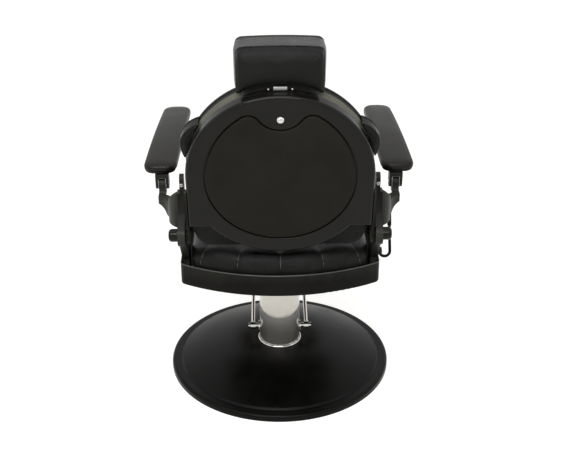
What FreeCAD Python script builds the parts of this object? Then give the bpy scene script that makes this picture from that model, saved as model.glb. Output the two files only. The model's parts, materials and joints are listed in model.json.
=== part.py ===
import FreeCAD, Part
import math
import os
import re
import Sketcher

# Barber chair: a domed floor base with a hydraulic pump column, a bowed seat tub, a round reclining back
# with a sliding headrest, two flip up arms, a recline lever and a rising footrest.
# Millimetres, +Z up, origin on the floor under the column. The sitter faces -Y, and +X is the sitter's left.

SIZES = {
    # floor base
    "base_radius": 343.0,
    "base_plate_thickness": 8.0,
    "cover_thickness": 3.0,
    "cover_lift": 0.5,
    "rim_height": 20.0,
    "rim_width": 28.0,
    "rim_rounding": 9.0,
    "rim_step": 6.0,
    "rim_step_run": 5.0,
    "dome_height": 76.0,
    "dome_radius": 620.0,
    # pump column
    "column_radius": 62.5,
    "column_wall": 4.0,
    "column_height": 345.0,
    "collar_height": 8.0,
    "collar_width": 5.5,
    "flange_radius": 100.0,
    "flange_thickness": 12.0,
    "pump_radius": 46.0,
    "bore_radius": 37.0,
    "bore_floor": 142.0,
    "pump_height": 330.0,
    "cap_lip": 5.0,
    "cap_set_in": 1.0,
    "cap_edge": 2.0,
    # pump pedal
    "shaft_height": 121.0,
    "shaft_radius": 7.0,
    "shaft_half_length": 99.0,
    "bush_radius": 11.0,
    "bush_flange": 15.0,
    "bush_flange_thickness": 3.5,
    "bush_tail": 2.0,
    "pedal_half_width": 84.0,
    "pedal_rod_radius": 5.8,
    "pedal_hub_radius": 12.0,
    "pedal_hub_width": 15.0,
    "pedal_reach": 372.0,
    "pedal_bend": 26.0,
    "pedal_rise": 4.0,
    "pedal_grip_radius": 11.0,
    "pedal_grip_length": 100.0,
    # lift ram and swivel
    "ram_radius": 31.0,
    "ram_top": 368.0,
    "piston_height": 18.0,
    "piston_gap": 1.0,
    "hub_bottom": 356.0,
    "hub_radius": 62.0,
    "hub_flare": 80.0,
    "mount_plate_half": 135.0,
    "mount_plate_thickness": 6.0,
    "mount_plate_corner": 24.0,
    # seat tub
    "seat_bottom": 384.0,
    "seat_band": 65.0,
    "seat_half_width": 284.0,
    "seat_front": 258.0,
    "seat_apex": 280.0,
    "seat_bow": 544.0,
    "seat_wall": 3.0,
    "seat_floor": 5.0,
    "front_corner": 45.0,
    "rear_corner": 20.0,
    "band_rounding": 6.0,
    "rail_centre": 115.0,
    "rail_width": 40.0,
    "rail_height": 36.0,
    "rail_wall": 3.0,
    "rail_rear": 180.0,
    "rail_front": 205.0,
    "pan_thickness": 12.0,
    "pan_side_gap": 20.8,
    "pan_rear": 215.0,
    "pan_front": 240.0,
    # seat cushion
    "cushion_side_gap": 4.0,
    "cushion_rear_top": 497.0,
    "cushion_front_top": 527.0,
    "channel_margin": 20.8,
    "channel_depth": 7.0,
    "channel_draw": 1.0,
    "cushion_ease": 2.0,
    "cushion_draw": 3.0,
    "cushion_crown": 6.0,
    "cushion_side_fall": 22.0,
    "cushion_side_draw": 12.0,
    "cushion_roll": 34.0,
    # arm posts
    "pivot_y": 250.0,
    "pivot_z": 565.0,
    "post_thickness": 20.0,
    "post_step": 69.0,
    "post_sweep": 120.0,
    "post_skew": 14.0,
    "post_bend_rear": 180.0,
    "leg_front": 96.0,
    "leg_rear": 170.0,
    "leg_curve_rear": 260.0,
    "leg_curve_front": 200.0,
    "leg_shoulder": 20.0,
    "leg_waist": 30.0,
    "boss_radius": 30.0,
    "lug_set_in": 20.0,
    "lug_root": 113.0,
    "lug_height": 52.0,
    "lug_curve": 260.0,
    "lug_top": 733.0,
    "lug_width": 30.0,
    "lug_thickness": 12.0,
    "web_top": 604.0,
    "web_bottom": 545.0,
    "web_curve": 90.0,
    "web_toe": 70.0,
    "web_rise": 12.0,
    "web_heel": 60.0,
    "web_heel_drop": 6.0,
    "web_saddle": 78.0,
    "saddle_ease": 4.0,
    "saddle_curve": 24.0,
    "tongue_radius": 16.0,
    "tongue_drop": 34.0,
    "pin_y": 30.0,
    "pin_z": 628.0,
    "pin_radius": 5.0,
    "pin_head": 1.5,
    "bolt_radius": 10.0,
    "cap_radius": 18.0,
    "cap_length": 26.0,
    "cap_rounding": 9.0,
    "spacer_radius": 17.0,
    # arms
    "arm_slope": 4.0,
    "arm_rear": 18.0,
    "arm_front": 430.0,
    "arm_rear_width": 97.0,
    "arm_front_width": 87.0,
    "arm_rear_shift": 5.0,
    "arm_front_shift": -17.0,
    "arm_rear_corner": 32.0,
    "arm_front_corner": 36.0,
    "arm_rear_bow": 2.0,
    "arm_front_bow": 3.0,
    "shell_underside": 33.0,
    "shell_thickness": 11.0,
    "shell_draw": 16.0,
    "shell_swell": 5.0,
    "shell_lip": 2.0,
    "pad_thickness": 25.0,
    "pad_foot": 3.0,
    "pad_shoulder": 4.0,
    "pad_crown": 17.0,
    "fork_half_width": 19.0,
    "fork_bridge": 11.0,
    "fork_depth": 17.0,
    "liner_thickness": 1.1,
    "liner_foot": 5.0,
    # back
    "back_tilt": 12.8,
    "back_rear": 29.5,
    "back_side_gap": 12.8,
    "back_hang": 39.5,
    "back_depth": 28.0,
    "back_wall": 9.0,
    "back_rim": 6.0,
    "back_rounding": 9.0,
    "ear_level": 47.5,
    "recess_depth": 6.0,
    "ring_width": 48.0,
    "panel_lobe": 81.0,
    "panel_peak_drop": 5.0,
    "panel_groove": 4.0,
    "panel_lobe_radius": 34.0,
    "panel_dip": 43.0,
    "panel_proud": 3.0,
    "panel_rolled_edge": 5.0,
    "panel_crown_edge": 26.0,
    "board_thickness": 12.0,
    "board_inset": 9.0,
    "back_cushion_overhang": 2.0,
    "back_cushion_depth": 76.0,
    "back_cushion_draw": 7.0,
    "back_cushion_corner": 46.0,
    "back_cushion_seat": 8.0,
    "back_cushion_shoulder": 22.0,
    "back_cushion_crown": 70.0,
    "back_cushion_foot": -22.0,
    "wing_overhang": 10.0,
    "wing_lift": 88.0,
    "wing_half_height": 52.0,
    "wing_set_in": 6.0,
    "wing_depth": 42.0,
    "hinge_thickness": 5.0,
    "hinge_radius": 24.0,
    "hinge_top": 165.0,
    "hinge_set_in": 3.0,
    "hinge_foot": 8.0,
    "hinge_corner": 11.0,
    "hinge_lead": 2.0,
    "hinge_curve": 70.0,
    # headrest
    "bar_width": 34.0,
    "bar_thickness": 5.6,
    "bar_depth": 138.5,
    "bar_rise": 88.5,
    "guide_wall": 3.2,
    "guide_depth": 156.5,
    "guide_drop": 10.5,
    "bezel_half_width": 95.0,
    "bezel_height": 9.0,
    "bezel_depth": 32.0,
    "bezel_slot_drop": 20.0,
    "latch_height": 10.0,
    "latch_thickness": 3.0,
    "latch_lift": 3.0,
    "head_half_width": 112.0,
    "head_gap": 2.5,
    "head_arch_rise": 12.0,
    "head_height": 116.0,
    "head_fall": 39.0,
    "head_crown": 5.0,
    "head_foot": 12.0,
    "head_depth": 144.0,
    "head_rear": 5.0,
    "head_rounding": 16.0,
    "knob_radius": 10.5,
    "knob_height": 9.0,
    "knob_drop": 66.5,
    "knob_edge": 2.0,
    "stem_radius": 4.0,
    # recline lever
    "lever_y": 55.0,
    "lever_z": 410.0,
    "lever_pin_radius": 7.0,
    "lever_hub_radius": 12.0,
    "lever_hub_width": 14.0,
    "lever_boss": 7.0,
    "lever_boss_lip": 4.0,
    "lever_offset": 8.0,
    "lever_rod_radius": 4.5,
    "lever_bend": 16.0,
    "lever_length": 138.0,
    "lever_lean": 29.0,
    "lever_grip_length": 62.0,
    "lever_grip_radius": 6.4,
    "grip_end": 3.0,
    "grip_crown": 8.0,
    "grip_taper": 3.5,
    # footrest
    "foot_pivot_y": -215.0,
    "foot_pivot_z": 362.0,
    "foot_drop": 39.7,
    "foot_arm_length": 331.0,
    "foot_arm_half": 14.0,
    "foot_arm_thickness": 8.0,
    "foot_bracket_x": 168.0,
    "foot_bracket_thickness": 8.0,
    "bracket_rear": 40.0,
    "bracket_front": 30.0,
    "foot_pin_radius": 6.0,
    "foot_pin_proud": 2.0,
    "calf_start": 60.0,
    "calf_end": 232.0,
    "calf_board": 6.0,
    "calf_margin": 10.0,
    "calf_corner": 30.0,
    "calf_end_bow": 3.0,
    "calf_side_bow": 2.0,
    "calf_thickness": 38.0,
    "calf_foot": 5.0,
    "calf_shoulder": 6.0,
    "calf_crown": 24.0,
    "foot_rod_radius": 7.0,
    "foot_rod_proud": 3.0,
    "foot_barrel_radius": 12.0,
    "foot_plate_half_width": 150.0,
    "foot_plate_reach": 165.0,
    "foot_plate_thickness": 5.0,
    "foot_tread_thickness": 4.0,
    "tread_side": 14.0,
    "tread_front": 12.0,
    "tread_rear": 6.0,
    "foot_tilt": 12.0,
    # clearances
    "run_gap": 0.05,
    "fit_gap": 0.2,
    "soft_gap": 0.4,
    "over_cut": 1.0,
}

doc = FreeCAD.newDocument("barber_chair")
dims = doc.addObject("Spreadsheet::Sheet", "dims")
for row, (name, number) in enumerate(SIZES.items(), start=1):
    dims.set("A%d" % row, name)
    dims.set("B%d" % row, str(number))
    dims.setAlias("B%d" % row, name)
doc.recompute()

# Lengths that follow from the sizes: the posts stand against the tub's wall, the round back fits between
# the posts, and the headrest stands on top of the back
FOLLOWING = {
    "post_inner": "seat_half_width - seat_wall - fit_gap - post_thickness",
    "pan_half_width": "post_inner - pan_side_gap",
    "channel_pitch": "(post_inner - cushion_side_gap - channel_margin)/2",
    "back_radius": "post_inner - back_side_gap",
    "back_centre": "back_radius - back_hang",
    "back_top": "back_centre + back_radius",
    "panel_radius": "back_radius - ring_width",
    "panel_peak": "panel_radius - panel_peak_drop",
    "back_cushion_radius": "back_radius + back_cushion_overhang",
    "back_cushion_low_width": "back_radius - back_cushion_draw",
    "wing_reach": "back_radius + wing_overhang",
    "wing_level": "back_centre + wing_lift",
    "guide_bottom": "back_top - guide_depth",
    "guide_top": "back_top - guide_drop",
    "bar_bottom": "back_top - bar_depth",
    "bar_top": "back_top + bar_rise",
    "head_low": "back_top + head_gap",
    "head_arch": "head_low + head_arch_rise",
    "head_top": "head_low + head_height",
    "knob_level": "back_top - knob_drop",
}
WORD = re.compile(r"[a-z]+(?:_[a-z]+)+")


def cells(text):
    """An expression with each size or length pointed at its cell."""
    def pointed(hit):
        name = hit.group()
        if name in SIZES:
            return "dims." + name
        return "lengths." + name if name in FOLLOWING else name
    return WORD.sub(pointed, text)


lengths = doc.addObject("Spreadsheet::Sheet", "lengths")
for row, (name, text) in enumerate(FOLLOWING.items(), start=1):
    lengths.set("A%d" % row, name)
    lengths.set("B%d" % row, "=" + cells(text).replace("lengths.", ""))
    lengths.setAlias("B%d" % row, name)
doc.recompute()

nodes = []
VECTOR = FreeCAD.Vector


def val(text):
    return float(lengths.evalExpression(cells(text)))


def bind(item, path, text):
    item.setExpression(path, cells(text))


def keep(item, label):
    item.Label = label
    nodes.append(item)
    return item


def place(item, x, y, z, axis=None, angle=None):
    """Set a placement whose position and turn follow the sheet."""
    turn = FreeCAD.Rotation(VECTOR(*axis), 10.0) if axis else FreeCAD.Rotation()
    item.Placement = FreeCAD.Placement(VECTOR(val(x), val(y), val(z)), turn)
    for letter, text in (("x", x), ("y", y), ("z", z)):
        bind(item, ".Placement.Base." + letter, text)
    if axis:
        bind(item, ".Placement.Rotation.Angle", angle)
    return item


def new_body(label):
    return doc.addObject("PartDesign::Body", label)


def origin_plane(body, role):
    return [item for item in body.Origin.OriginFeatures if item.Role == role][0]


def bent_edge(start, end, radius, outward):
    """An arc of under half a turn between two points, to the right of its direction when outward."""
    chord = end - start
    half = chord.Length / 2
    sagitta = radius - math.sqrt(max(radius * radius - half * half, 0.0))
    side = VECTOR(chord.y, -chord.x, 0).normalize() * (sagitta if outward else -sagitta)
    return Part.Arc(start, (start + end) / 2 + side, end)


def draw_loop(sketch, loop):
    """Draw a closed outline, anticlockwise, every corner and radius tied to the sheet."""
    if loop[0] == "circle":
        across, up, radius = loop[1:]
        centre = VECTOR(val(across), val(up), 0)
        edge = sketch.addGeometry(Part.Circle(centre, VECTOR(0, 0, 1), val(radius)), False)
        tie = (("DistanceX", 3, centre.x, across), ("DistanceY", 3, centre.y, up))
        for kind, spot, number, text in tie:
            index = sketch.addConstraint(Sketcher.Constraint(kind, edge, spot, number))
            bind(sketch, "Constraints[%d]" % index, text)
        index = sketch.addConstraint(Sketcher.Constraint("Radius", edge, val(radius)))
        bind(sketch, "Constraints[%d]" % index, radius)
        return
    spots = [VECTOR(val(corner[0]), val(corner[1]), 0) for corner in loop]
    edges = []
    for place_in_loop, corner in enumerate(loop):
        start = spots[place_in_loop]
        end = spots[(place_in_loop + 1) % len(loop)]
        if len(corner) == 2:
            edges.append((sketch.addGeometry(Part.LineSegment(start, end), False), 1, 2))
            continue
        outward = len(corner) == 3
        curve = bent_edge(start, end, val(corner[2]), outward)
        edge = sketch.addGeometry(curve, False)
        edges.append((edge, 1, 2) if outward else (edge, 2, 1))
    for place_in_loop, (edge, first, last) in enumerate(edges):
        after = edges[(place_in_loop + 1) % len(edges)]
        sketch.addConstraint(Sketcher.Constraint("Coincident", edge, last, after[0], after[1]))
    for corner, spot, (edge, first, last) in zip(loop, spots, edges):
        for kind, number, text in (("DistanceX", spot.x, corner[0]), ("DistanceY", spot.y, corner[1])):
            index = sketch.addConstraint(Sketcher.Constraint(kind, edge, first, number))
            bind(sketch, "Constraints[%d]" % index, text)
        if len(corner) > 2:
            index = sketch.addConstraint(Sketcher.Constraint("Radius", edge, val(corner[2])))
            bind(sketch, "Constraints[%d]" % index, corner[2])


def profile(body, role, level, loops):
    sketch = body.newObject("Sketcher::SketchObject", body.Name + "_outline")
    sketch.AttachmentSupport = (origin_plane(body, role), [""])
    sketch.MapMode = "FlatFace"
    bind(sketch, ".AttachmentOffset.Base.z", "-(%s)" % level if role == "XZ_Plane" else level)
    for loop in loops:
        draw_loop(sketch, loop)
    return sketch


def pad(body, role, low, high, loops):
    """Material between two levels of a plane's axis."""
    sketch = profile(body, role, high if role == "XZ_Plane" else low, loops)
    feature = body.newObject("PartDesign::Pad", body.Name + "_pad")
    feature.Profile = sketch
    bind(feature, "Length", "(%s)-(%s)" % (high, low))
    return feature


def pocket(body, role, low, high, loops):
    """A cut between two levels of a plane's axis."""
    sketch = profile(body, role, low if role == "XZ_Plane" else high, loops)
    doc.recompute()
    before = body.Shape.Volume
    feature = body.newObject("PartDesign::Pocket", body.Name + "_pocket")
    feature.Profile = sketch
    bind(feature, "Length", "(%s)-(%s)" % (high, low))
    doc.recompute()
    if body.Shape.Volume >= before:
        raise ValueError("the cut in %s removes nothing" % body.Label)
    return feature


def turned(label, loop):
    """A body of revolution about Z, from a half section of radius and height."""
    body = new_body(label)
    sketch = profile(body, "XZ_Plane", "0", [loop])
    feature = body.newObject("PartDesign::Revolution", label + "_turn")
    feature.Profile = sketch
    feature.ReferenceAxis = (sketch, ["V_Axis"])
    feature.Angle = 360.0
    return body


def fillet(body, radius, chosen):
    """Round the edges of the body so far that the test picks."""
    doc.recompute()
    base = body.Tip
    names = ["Edge%d" % (at + 1) for at, edge in enumerate(base.Shape.Edges) if chosen(edge)]
    if not names:
        raise ValueError("no edge to round in %s" % body.Label)
    feature = body.newObject("PartDesign::Fillet", body.Name + "_fillet")
    feature.Base = (base, names)
    bind(feature, "Radius", radius)
    doc.recompute()
    return feature


def upright(edge):
    along = edge.tangentAt(edge.FirstParameter)
    return abs(along.z) > 0.999 and edge.Length > 0.5


def mirrored(source, label):
    item = doc.addObject("Part::Mirroring", label)
    item.Source = source
    item.Normal = VECTOR(1, 0, 0)
    return keep(item, label)


def two_way(kind, label, first, second):
    item = doc.addObject(kind, label)
    item.Base = first
    item.Tool = second
    return item


def solid_feature(label, shape):
    item = doc.addObject("Part::Feature", label)
    item.Shape = shape
    return item


# Floor base

base_plate = keep(new_body("base_plate"), "base_plate")
pad(base_plate, "XY_Plane", "0", "base_plate_thickness",
    [("circle", "0", "0", "base_radius - cover_thickness - fit_gap")])

COVER_HOLE = "column_radius + fit_gap"
DOME_FOOT = "base_radius - rim_width - rim_step_run"
base_cover = keep(turned("base_cover", [
    ("base_radius", "cover_lift"),
    ("base_radius", "rim_height - rim_rounding", "rim_rounding"),
    ("base_radius - rim_rounding", "rim_height"),
    ("base_radius - rim_width", "rim_height"),
    (DOME_FOOT, "rim_height + rim_step", "dome_radius"),
    (COVER_HOLE, "dome_height"),
    (COVER_HOLE, "dome_height - cover_thickness", "dome_radius", -1),
    (DOME_FOOT, "rim_height + rim_step - cover_thickness"),
    ("base_radius - rim_width", "rim_height - cover_thickness"),
    ("base_radius - rim_rounding", "rim_height - cover_thickness"),
    ("base_radius - cover_thickness", "rim_height - rim_rounding"),
    ("base_radius - cover_thickness", "cover_lift"),
]), "base_cover")

# Pump column

FLANGE_TOP = "base_plate_thickness + flange_thickness"
pump_body = keep(turned("pump_body", [
    ("0", "base_plate_thickness"),
    ("flange_radius", "base_plate_thickness"),
    ("flange_radius", FLANGE_TOP),
    ("pump_radius", FLANGE_TOP),
    ("pump_radius", "pump_height"),
    ("bore_radius", "pump_height"),
    ("bore_radius", "bore_floor"),
    ("0", "bore_floor"),
]), "pump_body")
pocket(pump_body, "YZ_Plane", "-pump_radius - over_cut", "pump_radius + over_cut",
       [("circle", "0", "shaft_height", "shaft_radius + run_gap")])

pump_column = keep(turned("pump_column", [
    ("column_radius - column_wall", FLANGE_TOP),
    ("column_radius", FLANGE_TOP),
    ("column_radius", "column_height"),
    ("column_radius - column_wall", "column_height"),
]), "pump_column")
pocket(pump_column, "YZ_Plane", "-column_radius - over_cut", "column_radius + over_cut",
       [("circle", "0", "shaft_height", "bush_radius + fit_gap")])

column_collar = keep(turned("column_collar", [
    ("column_radius + fit_gap", "dome_height + fit_gap"),
    ("column_radius + collar_width", "dome_height + fit_gap"),
    ("column_radius + collar_width", "dome_height + collar_height/2", "collar_height/2"),
    ("column_radius + collar_width - collar_height/2", "dome_height + collar_height"),
    ("column_radius + fit_gap", "dome_height + collar_height"),
]), "column_collar")

column_cap = keep(turned("column_cap", [
    ("ram_radius + run_gap", "pump_height"),
    ("column_radius - column_wall - fit_gap", "pump_height"),
    ("column_radius - column_wall - fit_gap", "column_height"),
    ("column_radius - cap_set_in", "column_height"),
    ("column_radius - cap_set_in", "column_height + cap_lip - cap_edge", "cap_edge"),
    ("column_radius - cap_set_in - cap_edge", "column_height + cap_lip"),
    ("ram_radius + run_gap", "column_height + cap_lip"),
]), "column_cap")

# Pump pedal

BUSH_FACE = "column_radius + fit_gap"
pedal_bush_left = keep(turned("pedal_bush_left", [
    ("shaft_radius + run_gap", "column_radius - column_wall - bush_tail"),
    ("bush_radius", "column_radius - column_wall - bush_tail"),
    ("bush_radius", BUSH_FACE),
    ("bush_flange", BUSH_FACE),
    ("bush_flange", BUSH_FACE + " + bush_flange_thickness"),
    ("shaft_radius + run_gap", BUSH_FACE + " + bush_flange_thickness"),
]), "pedal_bush_left")
place(pedal_bush_left, "0", "0", "shaft_height", (0, 1, 0), "90")
mirrored(pedal_bush_left, "pedal_bush_right")

pedal_shaft = keep(new_body("pedal_shaft"), "pedal_shaft")
pad(pedal_shaft, "YZ_Plane", "-shaft_half_length", "shaft_half_length",
    [("circle", "0", "0", "shaft_radius")])
place(pedal_shaft, "0", "0", "shaft_height")

pedal_frame = keep(new_body("pedal_frame"), "pedal_frame")
HUB_IN = "pedal_half_width - pedal_hub_width/2"
HUB_OUT = "pedal_half_width + pedal_hub_width/2"
pad(pedal_frame, "YZ_Plane", HUB_IN, HUB_OUT, [("circle", "0", "0", "pedal_hub_radius")])
reach = val("pedal_reach")
half = val("pedal_half_width")
bend = val("pedal_bend")
pedal_path = pedal_frame.newObject("Sketcher::SketchObject", "pedal_path")
pedal_path.AttachmentSupport = (origin_plane(pedal_frame, "XY_Plane"), [""])
pedal_path.MapMode = "FlatFace"
corner = bend * (1 - math.sqrt(0.5))
for edge in (
    Part.LineSegment(VECTOR(half, 0, 0), VECTOR(half, bend - reach, 0)),
    Part.Arc(VECTOR(half, bend - reach, 0), VECTOR(half - corner, corner - reach, 0),
             VECTOR(half - bend, -reach, 0)),
    Part.LineSegment(VECTOR(half - bend, -reach, 0), VECTOR(bend - half, -reach, 0)),
    Part.Arc(VECTOR(bend - half, -reach, 0), VECTOR(corner - half, corner - reach, 0),
             VECTOR(-half, bend - reach, 0)),
    Part.LineSegment(VECTOR(-half, bend - reach, 0), VECTOR(-half, 0, 0)),
):
    pedal_path.addGeometry(edge, False)
pedal_ring = profile(pedal_frame, "XZ_Plane", "0", [("circle", "pedal_half_width", "0", "pedal_rod_radius")])
doc.recompute()
pedal_pipe = pedal_frame.newObject("PartDesign::AdditivePipe", "pedal_pipe")
pedal_pipe.Profile = pedal_ring
pedal_pipe.Spine = (pedal_path, ["Edge1", "Edge2", "Edge3", "Edge4", "Edge5"])
pad(pedal_frame, "YZ_Plane", "-(%s)" % HUB_OUT, "-(%s)" % HUB_IN, [("circle", "0", "0", "pedal_hub_radius")])
pocket(pedal_frame, "YZ_Plane", "-(%s) - over_cut" % HUB_OUT, HUB_OUT + " + over_cut",
       [("circle", "0", "0", "shaft_radius + run_gap")])
place(pedal_frame, "0", "0", "shaft_height", (-1, 0, 0), "pedal_rise")

pedal_grip = keep(new_body("pedal_grip"), "pedal_grip")
pad(pedal_grip, "YZ_Plane", "-pedal_grip_length/2", "pedal_grip_length/2",
    [("circle", "-pedal_reach", "0", "pedal_grip_radius"),
     ("circle", "-pedal_reach", "0", "pedal_rod_radius + fit_gap")])
place(pedal_grip, "0", "0", "shaft_height", (-1, 0, 0), "pedal_rise")

# Lift ram and swivel

PISTON_FOOT = "bore_floor + piston_gap"
PISTON_HEAD = PISTON_FOOT + " + piston_height"
lift_ram = keep(turned("lift_ram", [
    ("0", PISTON_FOOT),
    ("bore_radius - run_gap", PISTON_FOOT),
    ("bore_radius - run_gap", PISTON_HEAD),
    ("ram_radius", PISTON_HEAD),
    ("ram_radius", "ram_top"),
    ("0", "ram_top"),
]), "lift_ram")

HUB_TOP = "seat_bottom - mount_plate_thickness"
swivel_hub = keep(turned("swivel_hub", [
    ("ram_radius + run_gap", "hub_bottom"),
    ("hub_radius", "hub_bottom"),
    ("hub_flare", HUB_TOP),
    ("0", HUB_TOP),
    ("0", "ram_top"),
    ("ram_radius + run_gap", "ram_top"),
]), "swivel_hub")

mount_plate = keep(new_body("mount_plate"), "mount_plate")
pad(mount_plate, "XY_Plane", HUB_TOP, "seat_bottom", [[
    ("-mount_plate_half", "-mount_plate_half"),
    ("mount_plate_half", "-mount_plate_half"),
    ("mount_plate_half", "mount_plate_half"),
    ("-mount_plate_half", "mount_plate_half"),
]])
fillet(mount_plate, "mount_plate_corner", upright)

# Seat tub: a bowed rear wall, straight sides and rounded corners round an open top

FLOOR = "seat_bottom + seat_floor"
BAND_TOP = "seat_bottom + seat_band"


def tub_outline(inset):
    """The tub's plan, moved inwards by a distance."""
    wide = "seat_half_width - (%s)" % inset
    bow = "seat_bow - (%s)" % inset
    corner_y = "seat_apex - seat_bow + sqrt((%s)^2 - (%s)^2)" % (bow, wide)
    return [
        ("-(%s)" % wide, "-seat_front + (%s)" % inset),
        (wide, "-seat_front + (%s)" % inset),
        (wide, corner_y, bow),
        ("-(%s)" % wide, corner_y),
    ]


seat_tub = keep(new_body("seat_tub"), "seat_tub")
pad(seat_tub, "XY_Plane", "seat_bottom", BAND_TOP, [tub_outline("0")])
pocket(seat_tub, "XY_Plane", FLOOR, BAND_TOP + " + over_cut", [tub_outline("seat_wall")])


def tub_corner(inset, rear):
    """A test for the upright edges of the tub's front or rear corners, on its inner or outer face."""
    across = val("seat_half_width - (%s)" % inset)

    def chosen(edge):
        middle = edge.CenterOfMass
        return upright(edge) and abs(abs(middle.x) - across) < 0.01 and (middle.y > 0) == rear

    return chosen


fillet(seat_tub, "front_corner - seat_wall", tub_corner("seat_wall", False))
fillet(seat_tub, "rear_corner - seat_wall", tub_corner("seat_wall", True))
fillet(seat_tub, "front_corner", tub_corner("0", False))
fillet(seat_tub, "rear_corner", tub_corner("0", True))
fillet(seat_tub, "band_rounding", lambda edge: edge.BoundBox.ZMax < val("seat_bottom") + 0.01)

seat_rail_left = keep(new_body("seat_rail_left"), "seat_rail_left")


def rail_loop(inset):
    low, high = "rail_centre - rail_width/2 + (%s)" % inset, "rail_centre + rail_width/2 - (%s)" % inset
    foot, head = FLOOR + " + (%s)" % inset, FLOOR + " + rail_height - (%s)" % inset
    return [(low, foot), (high, foot), (high, head), (low, head)]


pad(seat_rail_left, "XZ_Plane", "-rail_front", "rail_rear", [rail_loop("0"), rail_loop("rail_wall")])
mirrored(seat_rail_left, "seat_rail_right")

PAN_BOTTOM = FLOOR + " + rail_height"
PAN_TOP = PAN_BOTTOM + " + pan_thickness"
seat_pan = keep(new_body("seat_pan"), "seat_pan")
pad(seat_pan, "XY_Plane", PAN_BOTTOM, PAN_TOP, [[
    ("-pan_half_width", "-pan_front"),
    ("pan_half_width", "-pan_front"),
    ("pan_half_width", "pan_rear"),
    ("-pan_half_width", "pan_rear"),
]])
fillet(seat_pan, "mount_plate_corner", upright)


def arc_wire(points, curved):
    """A closed wire through points, with a bulging arc of the given height on each curved edge."""
    edges = []
    for at, start in enumerate(points):
        end = points[(at + 1) % len(points)]
        rise = curved[at]
        if rise is None:
            edges.append(Part.LineSegment(start, end).toShape())
        else:
            edges.append(Part.Arc(start, (start + end) / 2 + rise, end).toShape())
    return Part.Wire(edges)


# Seat cushion: fore and aft channels between sewn seams, rolled at the rear and the front

def seat_section(across, drop, narrow):
    """The cushion's side profile in a plane of constant X."""
    low = val(PAN_TOP + " + soft_gap/2")
    wall = val("seat_bow - seat_wall - soft_gap")
    rear = val("seat_apex - seat_bow") + math.sqrt(wall ** 2 - across ** 2) - narrow - val("cushion_ease")
    front = -val("seat_front - seat_wall - soft_gap") + narrow + val("cushion_ease")
    roll = val("cushion_roll")
    draw = val("cushion_draw")
    rear_top = val("cushion_rear_top") - drop
    front_top = val("cushion_front_top") - drop
    points = [
        VECTOR(across, front + draw, low),
        VECTOR(across, rear - draw, low),
        VECTOR(across, rear, (low + rear_top) / 2),
        VECTOR(across, rear - roll, rear_top),
        VECTOR(across, front + roll, front_top),
        VECTOR(across, front, (low + front_top) / 2),
    ]
    deep = 0.22 * roll
    crown = VECTOR(0, 0, val("cushion_crown"))
    curved = [None, None, VECTOR(0, deep, deep), crown, VECTOR(0, -deep, deep), None]
    return arc_wire(points, curved)


wide = val("post_inner - cushion_side_gap")
pitch = val("channel_pitch")
deep = val("channel_depth")
tuck = val("channel_draw")
side_fall = val("channel_depth + cushion_side_fall")
side_draw = val("cushion_side_draw")
seams = [-2 * pitch, -pitch, 0.0, pitch, 2 * pitch]
channels = []
for left, right in zip(seams[:-1], seams[1:]):
    sections = [seat_section(left, deep, tuck), seat_section((left + right) / 2, 0.0, 0.0),
                seat_section(right, deep, tuck)]
    channels.append(Part.makeLoft(sections, True, False))
for side in (-1, 1):
    edge_wires = [seat_section(side * 2 * pitch, deep, tuck), seat_section(side * wide, side_fall, side_draw)]
    channels.append(Part.makeLoft(edge_wires, True, True))
seat_cushion = keep(solid_feature("seat_cushion", channels[0].multiFuse(channels[1:])), "seat_cushion")

# Arm posts: a leg in the tub, a boss at the recline bolt, and a web that sweeps out to the arm hinge

PLAN_RADIUS = "(post_step^2/4 + post_sweep^2/4)/post_step"
OUTER_X = "post_inner + post_thickness"
SWEEP_MID = "post_bend_rear - post_sweep/2"
SWEEP_END = "post_bend_rear - post_sweep"
post_plan = new_body("arm_post_plan")
pad(post_plan, "XY_Plane", "web_bottom - boss_radius*2", "lug_top + over_cut", [[
    ("post_inner", "pivot_y + boss_radius + over_cut"),
    ("post_inner", "post_bend_rear", PLAN_RADIUS, -1),
    ("post_inner + post_step/2", SWEEP_MID, PLAN_RADIUS),
    ("post_inner + post_step", SWEEP_END),
    ("post_inner + post_step", "pin_y - tongue_radius - over_cut"),
    (OUTER_X + " + post_step", "pin_y - tongue_radius - over_cut"),
    (OUTER_X + " + post_step", SWEEP_END + " + post_skew", PLAN_RADIUS, -1),
    (OUTER_X + " + post_step/2", SWEEP_MID + " + post_skew", PLAN_RADIUS),
    (OUTER_X, "post_bend_rear + post_skew"),
    (OUTER_X, "pivot_y + boss_radius + over_cut"),
]])
LUG_REAR = "pivot_y - lug_set_in"
post_side = new_body("arm_post_side")
pad(post_side, "YZ_Plane", "post_inner - over_cut", OUTER_X + " + post_step + over_cut", [[
    ("pin_y - tongue_radius", "pin_z - tongue_drop", "web_curve", -1),
    ("pin_y + web_toe", "web_bottom + web_rise"),
    ("pivot_y - web_heel", "pivot_z - web_heel_drop"),
    ("pivot_y", "pivot_z - boss_radius", "boss_radius"),
    ("pivot_y + boss_radius", "pivot_z", "boss_radius"),
    ("pivot_y + boss_radius*0.6", "pivot_z + boss_radius*0.8"),
    (LUG_REAR, "lug_top - lug_root"),
    (LUG_REAR, "lug_top - lug_width/2", "lug_width/2"),
    (LUG_REAR + " - lug_width/2", "lug_top", "lug_width/2"),
    (LUG_REAR + " - lug_width", "lug_top - lug_width/2"),
    (LUG_REAR + " - lug_width", "lug_top - lug_height", "lug_curve", -1),
    ("pin_y + web_saddle", "web_top"),
    ("pin_y + tongue_radius + saddle_ease", "web_top", "saddle_curve", -1),
    ("pin_y + tongue_radius", "pin_z", "tongue_radius"),
    ("pin_y", "pin_z + tongue_radius", "tongue_radius"),
    ("pin_y - tongue_radius", "pin_z"),
], ("circle", "pivot_y", "pivot_z", "bolt_radius + run_gap"),
    ("circle", "pin_y", "pin_z", "pin_radius + run_gap")])
post_web = two_way("Part::Common", "arm_post_web", post_plan, post_side)
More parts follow.
